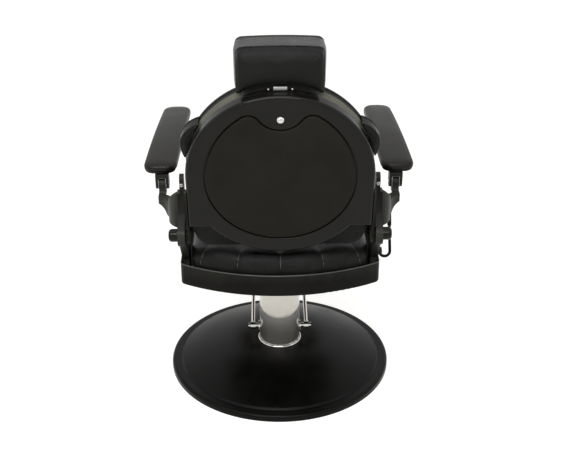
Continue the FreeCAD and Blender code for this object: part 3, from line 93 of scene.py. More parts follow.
class Paint:
    """A small helper that wires one node material."""

    def __init__(self, name):
        self.material = bpy.data.materials.new(name)
        self.material.use_nodes = True
        self.nodes = self.material.node_tree.nodes
        self.links = self.material.node_tree.links
        self.shader = self.nodes["Principled BSDF"]
        self.place = self.nodes.new("ShaderNodeTexCoord").outputs["Object"]

    def set(self, **values):
        for name, value in values.items():
            self.shader.inputs[name.replace("_", " ")].default_value = value
        return self

    def link(self, output, socket):
        self.links.new(output, self.shader.inputs[socket])

    def stretched(self, scale):
        mapping = self.nodes.new("ShaderNodeMapping")
        mapping.inputs["Scale"].default_value = scale
        self.links.new(self.place, mapping.inputs["Vector"])
        return mapping.outputs["Vector"]

    def noise(self, scale, detail=4.0, roughness=0.55, vector=None):
        node = self.nodes.new("ShaderNodeTexNoise")
        node.inputs["Scale"].default_value = scale
        node.inputs["Detail"].default_value = detail
        node.inputs["Roughness"].default_value = roughness
        self.links.new(vector or self.place, node.inputs["Vector"])
        return node.outputs["Fac"]

    def cells(self, scale, feature="DISTANCE_TO_EDGE", vector=None):
        node = self.nodes.new("ShaderNodeTexVoronoi")
        node.feature = feature
        node.inputs["Scale"].default_value = scale
        self.links.new(vector or self.place, node.inputs["Vector"])
        return node.outputs["Distance"]

    def ramp(self, value, low, high, spread=(0.3, 0.7)):
        """A value turned into a number between two ends."""
        return map_range(self.material.node_tree, value, spread, (low, high))

    def mix(self, factor, first, second):
        node = self.nodes.new("ShaderNodeMix")
        node.data_type = "RGBA"
        self.links.new(factor, node.inputs["Factor"])
        for socket, value in (("A", first), ("B", second)):
            entry = [i for i in node.inputs if i.name == socket and i.type == "RGBA"][0]
            if isinstance(value, tuple):
                entry.default_value = (*value, 1.0)
            else:
                self.links.new(value, entry)
        return [o for o in node.outputs if o.type == "RGBA"][0]

    def add(self, first, second, share):
        node = self.nodes.new("ShaderNodeMath")
        node.operation = "MULTIPLY_ADD"
        self.links.new(second, node.inputs[0])
        node.inputs[1].default_value = share
        self.links.new(first, node.inputs[2])
        return node.outputs[0]

    def bump(self, height, distance, strength=1.0, round_edge=0.0):
        node = self.nodes.new("ShaderNodeBump")
        if round_edge:
            bevel = self.nodes.new("ShaderNodeBevel")
            bevel.inputs["Radius"].default_value = round_edge
            self.links.new(bevel.outputs["Normal"], node.inputs["Normal"])
        node.inputs["Distance"].default_value = distance
        node.inputs["Strength"].default_value = strength
        self.links.new(height, node.inputs["Height"])
        self.link(node.outputs["Normal"], "Normal")

    def edges(self, low, high):
        """How far the surface stands proud, from 0 on a flat to 1 on a sharp edge."""
        proud = self.nodes.new("ShaderNodeNewGeometry").outputs["Pointiness"]
        return self.ramp(proud, 0.0, 1.0, (low, high))


def leather(name, dark, light, gloss, grain=620.0, specular=0.34):
    paint = Paint(name).set(Specular_IOR_Level=specular)
    cloud = paint.noise(9.0, 5.0)
    speck = paint.noise(420.0, 2.0)
    tone = paint.mix(paint.ramp(cloud, 0.0, 1.0), dark, light)
    paint.link(tone, "Base Color")
    paint.link(paint.ramp(paint.add(cloud, speck, 0.35), gloss - 0.06, gloss + 0.08, (0.4, 0.9)), "Roughness")
    pebbles = paint.ramp(paint.cells(grain), 0.0, 1.0, (0.0, 0.32))
    creases = paint.noise(55.0, 6.0, 0.62)
    paint.bump(paint.add(paint.add(pebbles, speck, 0.5), creases, 0.8), 0.00022)
    return paint.material


def coated(name, dark, light, gloss, wear=(0.1, 0.1, 0.1), specular=0.45):
    paint = Paint(name).set(Specular_IOR_Level=specular)
    cloud = paint.noise(14.0, 5.0)
    fine = paint.noise(1500.0, 3.0)
    tone = paint.mix(paint.ramp(cloud, 0.0, 1.0), dark, light)
    paint.link(paint.mix(paint.edges(0.56, 0.66), tone, wear), "Base Color")
    paint.link(paint.ramp(paint.add(cloud, fine, 0.3), gloss - 0.05, gloss + 0.09, (0.4, 0.9)), "Roughness")
    paint.bump(fine, 0.00006, round_edge=EDGE_ROUND)
    return paint.material


def polished(name, tint, gloss, haze=0.0):
    """Chrome, with a hazy coat of fine grinding marks where one is wanted."""
    paint = Paint(name).set(Metallic=1.0 - 0.18 * haze, Coat_Weight=haze, Coat_Roughness=0.28, Coat_IOR=2.2)
    smear = paint.noise(22.0, 4.0)
    hair = paint.noise(160.0, 3.0, 0.6, paint.stretched((9.0, 9.0, 0.35)))
    tone = paint.mix(paint.ramp(smear, 0.0, 1.0), tint, tuple(0.93 * part for part in tint))
    paint.link(tone, "Base Color")
    paint.link(paint.ramp(paint.add(smear, hair, 0.5), gloss * 0.6, gloss * 1.5, (0.5, 1.0)), "Roughness")
    paint.bump(hair, 0.00001)
    return paint.material


def brushed(name, tint, gloss):
    paint = Paint(name).set(Metallic=1.0, Anisotropic=0.4)
    lines = paint.noise(260.0, 4.0, 0.7, paint.stretched((0.25, 6.0, 6.0)))
    tone = paint.mix(paint.ramp(lines, 0.0, 1.0), tint, tuple(0.82 * part for part in tint))
    paint.link(tone, "Base Color")
    paint.link(paint.ramp(lines, gloss - 0.07, gloss + 0.1), "Roughness")
    paint.bump(lines, 0.00003)
    return paint.material


def moulded(name, dark, light, gloss, grain=900.0, specular=0.4, edge=EDGE_ROUND):
    paint = Paint(name).set(Specular_IOR_Level=specular)
    cloud = paint.noise(18.0, 4.0)
    pits = paint.cells(grain, "F1")
    paint.link(paint.mix(paint.ramp(cloud, 0.0, 1.0), dark, light), "Base Color")
    paint.link(paint.ramp(paint.add(cloud, pits, 0.2), gloss - 0.05, gloss + 0.07, (0.35, 0.8)), "Roughness")
    paint.bump(pits, 0.00008, round_edge=edge)
    return paint.material


def plywood(name):
    paint = Paint(name).set(Specular_IOR_Level=0.3)
    rings = paint.noise(30.0, 5.0, 0.6, paint.stretched((1.0, 0.12, 6.0)))
    paint.link(paint.mix(paint.ramp(rings, 0.0, 1.0), (0.30, 0.19, 0.10), (0.52, 0.37, 0.22)), "Base Color")
    paint.link(paint.ramp(rings, 0.5, 0.7), "Roughness")
    paint.bump(rings, 0.0002)
    return paint.material


LEATHER = leather(
    "black_leather", (0.0070, 0.0074, 0.0068), (0.0122, 0.0128, 0.0118), 0.27, specular=0.11)
PANEL_LEATHER = leather(
    "panel_leather", (0.0098, 0.0091, 0.0070), (0.0168, 0.0157, 0.0121), 0.50, specular=0.10)
# Light olive for the back cushion's boxing: painted light, the light falling on the upward-facing boxing from
# above, laid all round it
BOXING_PAINTED_LIGHT = leather("boxing_painted_light", (0.085, 0.085, 0.062), (0.120, 0.120, 0.088), 0.40)
PIPING = leather(
    "piping_leather", (0.0090, 0.0092, 0.0084), (0.0150, 0.0152, 0.0140), 0.28, grain=900.0)
ARM_SKIN = moulded(
    "arm_pad_skin", (0.0064, 0.0057, 0.0042), (0.0100, 0.0089, 0.0066), 0.34, grain=700.0, specular=0.20)
SHELL = moulded(
    "back_shell_skin", (0.0055, 0.0052, 0.0042), (0.0088, 0.0083, 0.0066), 0.16, grain=800.0, specular=0.16,
    edge=0.004)
PLASTIC = moulded(
    "black_plastic", (0.0055, 0.0053, 0.0046), (0.0090, 0.0086, 0.0074), 0.38, specular=0.12)
METAL = coated(
    "satin_black_metal", (0.0035, 0.0033, 0.0026), (0.0065, 0.0061, 0.0048), 0.36, BLACK_WEAR, 0.09)
BASE = coated("base_coat", (0.0016, 0.0016, 0.0014), (0.0032, 0.0031, 0.0027), 0.30, BLACK_WEAR, 0.10)
STEEL = coated("painted_steel", (0.030, 0.030, 0.030), (0.050, 0.050, 0.050), 0.50)
CHROME = polished("chrome", (0.64, 0.63, 0.61), 0.085)
GROUND_CHROME = polished("ground_chrome", (0.52, 0.50, 0.45), 0.07, haze=1.0)
ZINC = coated("zinc_plate", (0.60, 0.60, 0.62), (0.74, 0.74, 0.76), 0.34, (0.8, 0.8, 0.8))
# Light grey for the seat's seam welts: a painted highlight, the light line each seam catches
SEAM_PAINTED_HIGHLIGHT = coated("seam_painted_highlight", (0.055, 0.053, 0.048), (0.085, 0.082, 0.075), 0.50)
# Light grey for the tub's edge bead: a painted highlight, the thin light line along the tub's top edge
BEAD_PAINTED_HIGHLIGHT = coated("bead_painted_highlight", (0.050, 0.050, 0.045), (0.090, 0.090, 0.082), 0.30)
BRIGHT = brushed("bright_steel", (0.80, 0.80, 0.80), 0.30)
RUBBER = moulded("rubber", (0.010, 0.010, 0.010), (0.018, 0.018, 0.018), 0.62, grain=1200.0)
WOOD = plywood("plywood")

SLOT_PAINT = {
    "steel_plate": STEEL,
    "black_cover": BASE,
    "chrome": CHROME,
    "black_plastic": PLASTIC,
    "black_metal": METAL,
    "back_shell_black": SHELL,
    "leather": LEATHER,
    "wood": WOOD,
    "rubber": RUBBER,
    "bright_steel": BRIGHT,
}
NODE_PAINT = {
    "pump_column": GROUND_CHROME,
    "arm_liner_left": ZINC,
    "arm_liner_right": ZINC,
    "pivot_bolt_left": SHELL,
    "pivot_bolt_right": SHELL,
}
for part in frame["record"]["subparts"]:
    node = NODES[part["node"]]
    node.data.materials.clear()
    node.data.materials.append(NODE_PAINT.get(part["node"], SLOT_PAINT[part["material_slot"]]))

# Camera at the photograph's viewing angle

PHOTO_WIDTH = 564.0
FOCAL_PIXELS = 993.0
EYE = Vector((0.033, 2.700, 1.776))
YAW = math.radians(-0.882)
PITCH = math.radians(25.795)
ROLL = math.radians(-0.199)


def add_camera():
    data = bpy.data.cameras.new("camera")
    data.sensor_width = 36.0
    data.lens = FOCAL_PIXELS * data.sensor_width / PHOTO_WIDTH
    data.clip_start = 0.05
    data.clip_end = 60.0
    ahead = Vector((math.sin(YAW) * math.cos(PITCH), -math.cos(YAW) * math.cos(PITCH), -math.sin(PITCH)))
    right = Vector((-math.cos(YAW), -math.sin(YAW), 0.0))
    upward = right.cross(ahead)
    level = Matrix((right, upward, -ahead)).transposed()
    camera = bpy.data.objects.new("camera", data)
    camera.matrix_world = Matrix.Translation(EYE) @ (level @ Matrix.Rotation(ROLL, 3, "Z")).to_4x4()
    SCENE.collection.objects.link(camera)
    SCENE.camera = camera


add_camera()

# Floor, lamps and world

FLOOR_HALF = 9.0
FLOOR_TONE = (0.45, 0.44, 0.41)
FLOOR_GLOW = 0.80
ROOM_TONE = (1.0, 0.985, 0.95)
ROOM_AHEAD = ((0.9, -0.9), (0.24, 0.58))
ROOM_RISE = ((0.12, 0.45), (0.22, 1.30))


def seen_directly(nodes, links):
    """1 for a ray from the camera, a mirror or glass, and 0 for the light that falls on matt surfaces."""
    path = nodes.new("ShaderNodeLightPath")
    either = path.outputs["Is Camera Ray"]
    for kind in ("Is Glossy Ray", "Is Transmission Ray"):
        larger = nodes.new("ShaderNodeMath")
        larger.operation = "MAXIMUM"
        links.new(either, larger.inputs[0])
        links.new(path.outputs[kind], larger.inputs[1])
        either = larger.outputs[0]
    return either


def by_ray(nodes, links, other, direct):
    """One shader for the rays that see the stage directly, and another for the light on matt surfaces."""
    pick = nodes.new("ShaderNodeMixShader")
    links.new(seen_directly(nodes, links), pick.inputs["Fac"])
    links.new(other.outputs[0], pick.inputs[1])
    links.new(direct.outputs[0], pick.inputs[2])
    return pick.outputs[0]


def floor_material():
    """White to the camera, in mirrors and through glass, with the shadow kept, and pale to other light."""
    material = bpy.data.materials.new("floor")
    material.use_nodes = True
    nodes = material.node_tree.nodes
    links = material.node_tree.links
    nodes.clear()
    output = nodes.new("ShaderNodeOutputMaterial")
    matte = nodes.new("ShaderNodeBsdfDiffuse")
    matte.inputs["Color"].default_value = (*FLOOR_TONE, 1.0)
    glow = nodes.new("ShaderNodeEmission")
    glow.inputs["Strength"].default_value = FLOOR_GLOW
    both = nodes.new("ShaderNodeAddShader")
    links.new(matte.outputs[0], both.inputs[0])
    links.new(glow.outputs[0], both.inputs[1])
    links.new(by_ray(nodes, links, matte, both), output.inputs["Surface"])
    return material


def add_floor():
    mesh = bpy.data.meshes.new("floor")
    signs = ((-1, -1), (1, -1), (1, 1), (-1, 1))
    corners = [(across * FLOOR_HALF, along * FLOOR_HALF, 0.0) for across, along in signs]
    mesh.from_pydata(corners, [], [(0, 1, 2, 3)])
    mesh.materials.append(floor_material())
    floor = bpy.data.objects.new("floor", mesh)
    SCENE.collection.objects.link(floor)


def add_lamp(name, spot, target, size, power):
    data = bpy.data.lights.new(name, "AREA")
    data.shape = "RECTANGLE"
    data.size, data.size_y = size
    data.energy = power
    lamp = bpy.data.objects.new(name, data)
    lamp.location = spot
    lamp.rotation_euler = (Vector(target) - Vector(spot)).to_track_quat("-Z", "Y").to_euler()
    SCENE.collection.objects.link(lamp)


def add_world():
    """White to the camera, in mirrors and through glass; the other light is a soft room, brighter ahead."""
    world = bpy.data.worlds.new("world")
    SCENE.world = world
    world.use_nodes = True
    nodes = world.node_tree.nodes
    links = world.node_tree.links
    nodes.clear()
    output = nodes.new("ShaderNodeOutputWorld")
    place = nodes.new("ShaderNodeTexCoord")
    apart = nodes.new("ShaderNodeSeparateXYZ")
    links.new(place.outputs["Generated"], apart.inputs["Vector"])
    ahead = map_range(world.node_tree, apart.outputs["Y"], *ROOM_AHEAD)
    rise = map_range(world.node_tree, apart.outputs["Z"], *ROOM_RISE)
    soft = nodes.new("ShaderNodeMath")
    soft.operation = "MULTIPLY"
    links.new(ahead, soft.inputs[0])
    links.new(rise, soft.inputs[1])
    room = nodes.new("ShaderNodeBackground")
    room.inputs["Color"].default_value = (*ROOM_TONE, 1.0)
    links.new(soft.outputs[0], room.inputs["Strength"])
    white = nodes.new("ShaderNodeBackground")
    white.inputs["Color"].default_value = (1.0, 1.0, 1.0, 1.0)
    links.new(by_ray(nodes, links, room, white), output.inputs["Surface"])


add_floor()
add_world()
add_lamp("key", (0.35, 2.1, 2.7), (0.0, 0.2, 0.7), (2.2, 0.20), 56.0)
add_lamp("overhead", (0.0, 0.2, 3.3), (0.0, 0.0, 0.6), (2.4, 1.4), 8.0)
add_lamp("left_fill", (2.6, 1.4, 1.9), (0.0, 0.0, 0.6), (1.0, 1.8), 5.0)
add_lamp("right_fill", (-2.6, 1.0, 1.7), (0.0, 0.0, 0.6), (1.0, 1.8), 5.0)

SCENE.view_settings.view_transform = "Standard"

# Mesh helpers

PRESSURE = 4.0
CLOTH_STEPS = 20


def tree_of(name):
    mesh = NODES[name].data
    return BVHTree.FromPolygons([v.co[:] for v in mesh.vertices], [p.vertices[:] for p in mesh.polygons])


def make_piece(name, points, faces, paint, body):
    """A smooth mesh piece that rides on a body."""
    mesh = bpy.data.meshes.new(name)
    mesh.from_pydata([tuple(point) for point in points], [], faces)
    mesh.materials.append(paint)
    mesh.polygons.foreach_set("use_smooth", [True] * len(mesh.polygons))
    piece = bpy.data.objects.new(name, mesh)
    SCENE.collection.objects.link(piece)
    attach(piece, body)
    return piece


def soften(piece, levels=1):
    subdivision = piece.modifiers.new("subdivision", "SUBSURF")
    subdivision.levels = levels
    subdivision.render_levels = levels


def placed(place, points):
    matrix = np.array(place)
    return np.asarray(points) @ matrix[:3, :3].T + matrix[:3, 3]


def resampled(points, count, closed=True):
    """The same line cut into equal steps."""
    points = np.asarray(points, dtype=float)
    if closed:
        points = np.vstack((points, points[:1]))
    run = np.concatenate(([0.0], np.cumsum(np.linalg.norm(np.diff(points, axis=0), axis=1))))
    at = np.linspace(0.0, run[-1], count, endpoint=not closed)
    return np.stack([np.interp(at, run, points[:, axis]) for axis in range(points.shape[1])], axis=1)


def star_edge(name, place, centre, level, flat, count=720):
    """The edge of a CAD piece at one level of a drawing frame, found by rays cast in to its middle."""
    tree = tree_of(name)
    points = []
    for step in range(count):
        angle = 2.0 * math.pi * step / count
        across, along = math.cos(angle), math.sin(angle)
        far = place @ flat(centre[0] + across, centre[1] + along, level)
        ray = place.to_3x3() @ flat(-across, -along, 0.0)
        hit = tree.ray_cast(far, ray)[0]
        local = place.inverted() @ hit
        points.append(flat_back(local, flat))
    return np.array(points)


def on_face(across, along, level):
    """A point of the back: across, up and rearward."""
    return Vector((across, level, along))


def on_plan(across, along, level):
    """A point of the seat: across, rearward and up."""
    return Vector((across, along, level))


def flat_back(local, flat):
    """The two flat parts of a point, in the order that on_face or on_plan takes them."""
    return (local.x, local.z) if flat is on_face else (local.x, local.y)


def moved_in(edge, inset):
    """A closed flat line moved inwards along its normals."""
    ahead = np.roll(edge, -2, axis=0) - np.roll(edge, 2, axis=0)
    normal = np.stack((-ahead[:, 1], ahead[:, 0]), axis=1)
    normal /= np.linalg.norm(normal, axis=1, keepdims=True)
    return edge + normal * inset


def at_depth(line, level):
    """A flat line of the back, at one level rearward."""
    return np.stack((line[:, 0], np.full(len(line), level), line[:, 1]), axis=1)


def at_height(line, level):
    """A flat line of a plan, at one height."""
    return np.stack((line[:, 0], line[:, 1], np.full(len(line), level)), axis=1)


def on_border(i, j):
    """Which corners of a lattice lie on its four sides."""
    return (i == 0) | (i == i.max()) | (j == 0) | (j == j.max())


def joined(rings, first_cap=True, last_cap=True):
    """Points and faces of a skin through rings of equal count, its ends drawn to a middle point."""
    count = len(rings[0])
    points = np.vstack(rings)
    faces = []
    for level in range(len(rings) - 1):
        for step in range(count):
            after = (step + 1) % count
            faces.append((level * count + step, level * count + after,
                          (level + 1) * count + after, (level + 1) * count + step))
    for wanted, ring, flip in ((first_cap, 0, True), (last_cap, len(rings) - 1, False)):
        if wanted:
            middle = len(points)
            points = np.vstack((points, rings[ring].mean(axis=0)))
            for step in range(count):
                pair = (ring * count + step, ring * count + (step + 1) % count)
                faces.append((pair[1], pair[0], middle) if flip else (pair[0], pair[1], middle))
    return points, faces


def tube(path, radius, sides=8, closed=True):
    """Points and faces of a round cord along a line."""
    path = np.asarray(path, dtype=float)
    count = len(path)
    if closed:
        ahead = np.roll(path, -1, axis=0) - np.roll(path, 1, axis=0)
    else:
        ahead = np.gradient(path, axis=0)
    ahead /= np.linalg.norm(ahead, axis=1, keepdims=True)
    side = np.cross(ahead[0], (0.3, 0.5, 0.81))
    rings = []
    for point, along in zip(path, ahead):
        side = side - along * np.dot(side, along)
        side /= np.linalg.norm(side)
        other = np.cross(along, side)
        turn = np.linspace(0.0, 2.0 * math.pi, sides, endpoint=False)
        rings.append(point + radius * (np.outer(np.cos(turn), side) + np.outer(np.sin(turn), other)))
    points = np.vstack(rings)
    faces = []
    last = count if closed else count - 1
    for level in range(last):
        here, there = level * sides, ((level + 1) % count) * sides
        for step in range(sides):
            after = (step + 1) % sides
            faces.append((here + step, here + after, there + after, there + step))
    if not closed:
        faces.append(tuple(range(sides - 1, -1, -1)))
        faces.append(tuple((count - 1) * sides + step for step in range(sides)))
    return points, faces


def piping(name, path, radius, body, paint=None, closed=True):
    """A sewn welt cord."""
    points, faces = tube(path, radius, 8, closed)
    make_piece(name, points, faces, paint or PIPING, body)


def lattice(across, along, deep):
    """The skin of a block of cells: the place of every corner, and its quads."""
    index = {}
    faces = []

    def corner(*key):
        return index.setdefault(key, len(index))

    for i in range(across):
        for j in range(along):
            faces.append((corner(i, j, 0), corner(i, j + 1, 0), corner(i + 1, j + 1, 0), corner(i + 1, j, 0)))
            faces.append((corner(i, j, deep), corner(i + 1, j, deep), corner(i + 1, j + 1, deep),
                          corner(i, j + 1, deep)))
    for k in range(deep):
        for i in range(across):
            faces.append((corner(i, 0, k), corner(i + 1, 0, k), corner(i + 1, 0, k + 1), corner(i, 0, k + 1)))
            faces.append((corner(i, along, k), corner(i, along, k + 1), corner(i + 1, along, k + 1),
                          corner(i + 1, along, k)))
        for j in range(along):
            faces.append((corner(0, j, k), corner(0, j, k + 1), corner(0, j + 1, k + 1), corner(0, j + 1, k)))
            faces.append((corner(across, j, k), corner(across, j + 1, k), corner(across, j + 1, k + 1),
                          corner(across, j, k + 1)))
    return np.array(list(index)), faces


def edge_distance(points, edge):
    """How far each flat point lies from a closed line."""
    start = np.asarray(edge)
    span = np.roll(start, -1, axis=0) - start
    size = np.maximum((span ** 2).sum(axis=1), 1e-12)
    best = np.full(len(points), np.inf)
    for begin, run, square in zip(start, span, size):
        away = points - begin
        share = np.clip((away @ run) / square, 0.0, 1.0)
        best = np.minimum(best, np.linalg.norm(away - np.outer(share, run), axis=1))
    return best


def round_over(distance, radius):
    """How far a rounded edge falls, at a distance from that edge."""
    inside = np.clip(radius - distance, 0.0, radius)
    return radius - np.sqrt(radius ** 2 - inside ** 2)


def roll_over(distance, deep, wide):
    """How far a flattened roll falls, at a distance from the edge where it is deepest."""
    inside = np.clip(1.0 - distance / wide, 0.0, 1.0)
    return deep * (1.0 - np.sqrt(1.0 - inside ** 2))


def swell(piece, pinned, limit):
    """Blows a closed skin up while its pinned points stay, and caps how far any point moves."""
    mesh = piece.data
    start = np.empty(len(mesh.vertices) * 3)
    mesh.vertices.foreach_get("co", start)
    start = start.reshape(-1, 3)
    group = piece.vertex_groups.new(name="pinned")
    group.add([int(index) for index in np.flatnonzero(pinned)], 1.0, "REPLACE")
    cloth = piece.modifiers.new("cloth", "CLOTH")
    cloth.settings.quality = 5
    cloth.settings.mass = 0.3
    cloth.settings.vertex_group_mass = "pinned"
    cloth.settings.use_pressure = True
    cloth.settings.uniform_pressure_force = PRESSURE
    cloth.settings.effector_weights.gravity = 0.0
    cloth.collision_settings.use_collision = False
    cloth.point_cache.frame_start = 1
    cloth.point_cache.frame_end = CLOTH_STEPS
    for step in range(1, CLOTH_STEPS + 1):
        SCENE.frame_set(step)
    shaped = piece.evaluated_get(bpy.context.evaluated_depsgraph_get())
    end = np.empty(len(mesh.vertices) * 3)
    shaped.data.vertices.foreach_get("co", end)
    move = end.reshape(-1, 3) - start
    size = np.linalg.norm(move, axis=1, keepdims=True)
    move *= np.minimum(1.0, limit / np.maximum(size, 1e-9))
    piece.modifiers.remove(cloth)
    piece.vertex_groups.remove(group)
    SCENE.frame_set(1)
    mesh.vertices.foreach_set("co", (start + move).ravel())
    mesh.update()


def spread(counts):
    """Cuts across a pad that fall on its seams: which channel each belongs to and how far into it."""
    channel = []
    share = []
    for number, count in enumerate(counts):
        for step in range(count):
            channel.append(number)
            share.append(step / count)
    channel.append(len(counts) - 1)
    share.append(1.0)
    return np.array(channel), np.array(share)


def eased(count, ends=0.35):
    """Cuts from 0 to 1, closer at both ends."""
    even = np.linspace(0.0, 1.0, count + 1)
    return (1.0 - ends) * even + ends * (0.5 - 0.5 * np.cos(math.pi * even))


# Seat cushion: sewn channels that fan in from the rear roll

SEAT_LOW, SEAT_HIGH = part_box("seat_cushion")
SEAT_HALF = SEAT_HIGH.x - 6.0 * MM
SEAT_FRONT = SEAT_LOW.y + 5.0 * MM
SEAT_REAR = SEAT_HIGH.y - 4.0 * MM
SEAT_BOW = 0.5406
SEAT_REAR_TOP = 0.499
SEAT_FRONT_TOP = 0.520
SEAT_SLOPE_RUN = 0.42
SEAT_ROLL = 0.036
SEAT_CORNER = (0.024, 0.040)
SEAT_SIDE = (0.020, 0.075)
SEAT_PUFF = 0.002
SEAT_LIFT = 0.0005
SEAT_SWELL = 0.004
SEAT_CHANNELS = (5, 18, 18, 18, 18, 5)
SEAT_SEAMS = (0.121, 0.226)
SEAM_FAN = 0.22
SEAM_RUN = 0.085
SEAT_WELT = 0.0012
SEAM_DEEP = 0.0030
SEAM_WIDE = 0.0036
SEAM_TUCK = 0.004


def seat_rear_line(across):
    bowed = SEAT_REAR - SEAT_BOW + np.sqrt(SEAT_BOW ** 2 - across ** 2)
    return bowed - round_over(SEAT_HALF - np.abs(across), SEAT_CORNER[0])


def seat_front_line(across):
    return SEAT_FRONT + round_over(SEAT_HALF - np.abs(across), SEAT_CORNER[1])


def seam_place(number, behind):
    """How far out a seam lies, at a distance ahead of the rear edge."""
    return SEAT_SEAMS[number] * (1.0 - SEAM_FAN * (1.0 - np.exp(-behind / SEAM_RUN)))


def add_seat_cushion():
    channel, share = spread(SEAT_CHANNELS)
    rows = eased(78)
    deep = 6
    keys, faces = lattice(len(channel) - 1, len(rows) - 1, deep)
    i, j, k = keys.T
    b = rows[j]
    behind = (1.0 - b) * (SEAT_REAR - SEAT_FRONT)
    inner, outer = seam_place(0, behind), seam_place(1, behind)
    edge = np.full(len(b), SEAT_HALF)
    knots = np.stack((-edge, -outer, -inner, 0.0 * edge, inner, outer, edge), axis=1)
    rank = np.arange(len(keys))
    begin, finish = knots[rank, channel[i]], knots[rank, channel[i] + 1]
    x = begin + share[i] * (finish - begin)
    front, rear = seat_front_line(x), seat_rear_line(x)
    y = front + b * (rear - front)
    away = np.min(np.abs(x[:, None] - knots[:, 1:6]), axis=1)
    groove = np.exp(-(away / SEAM_WIDE) ** 2)
    puff = np.where((channel[i] > 0) & (channel[i] < 5), 1.0 - (2.0 * share[i] - 1.0) ** 2, 0.4)
    level = SEAT_REAR_TOP + (SEAT_FRONT_TOP - SEAT_REAR_TOP) * np.clip((rear - y) / SEAT_SLOPE_RUN, 0.0, 1.0)
    fall = np.maximum(round_over(rear - y, SEAT_ROLL), round_over(y - front, SEAT_ROLL))
    side = SEAT_SIDE[0] * (1.0 - np.clip((SEAT_HALF - np.abs(x)) / SEAT_SIDE[1], 0.0, 1.0)) ** 2
    top = level - fall - side + SEAT_PUFF * puff - SEAM_DEEP * groove
    bottom = SEAT_LOW.z + SEAT_LIFT
    z = bottom + (top - bottom) * (k / deep)
    y = y - np.where(j == len(rows) - 1, SEAM_TUCK * groove * (k > 0), 0.0)
    points = np.stack((x, y, z), axis=1)
    piece = make_piece("seat_upholstery", points, faces, LEATHER, "seat")
    seams = np.cumsum(SEAT_CHANNELS[:-1])
    on_seam = np.isin(i, seams)
    swell(piece, (k == 0) | (on_seam & ((k == deep) | (j == 0) | (j == len(rows) - 1))), SEAT_SWELL)
    soften(piece)
    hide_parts("seat_cushion")
    # The welts are painted light grey, a painted highlight along the seams
    for number, seam in enumerate(seams):
        line = points[(i == seam) & (k == deep)]
        line = line[np.argsort(line[:, 1])]
        piping("seat_welt_%d" % number, resampled(line, 120, False), SEAT_WELT, "seat", SEAM_PAINTED_HIGHLIGHT, False)


# Back cushion: a boxed border round a crowned face with upright channels

BACK_CENTRE = 0.2085
BACK_R = 0.2475
BACK_FOOT = -0.052
BACK_CORNER = 0.046
CUSHION_REAR = -0.0109
BORDER_DEEP = 0.046
CUSHION_CROWN = 0.021
SLOT_HALF = 0.0235
SLOT_FOOT = 0.296
SLOT_DEEP = 0.0135
BOXING_RANK = 5
BACK_CHANNELS = (16, 14, 14, 14, 14, 16)
BACK_SEAMS = (0.33, 0.66)
BACK_TAPER = (0.036, 0.23)
GROOVE_SIZE = 0.008
GROOVE_FADE = 0.03
CROWN_RUN = 0.085
BACK_PUFF = (0.005, 0.05)
BACK_DRAW = (0.007, 0.020)
BACK_SWELL = 0.010


def back_plan(x):
    high = BACK_CENTRE + np.sqrt(np.maximum(BACK_R ** 2 - x ** 2, 0.0))
    low = BACK_FOOT + round_over(BACK_R - np.abs(x), BACK_CORNER)
    return low, high


def back_width(u):
    """The cushion's sides draw in towards its foot."""
    return 1.0 - BACK_TAPER[0] * np.clip((BACK_CENTRE - u) / BACK_TAPER[1], 0.0, 1.0)


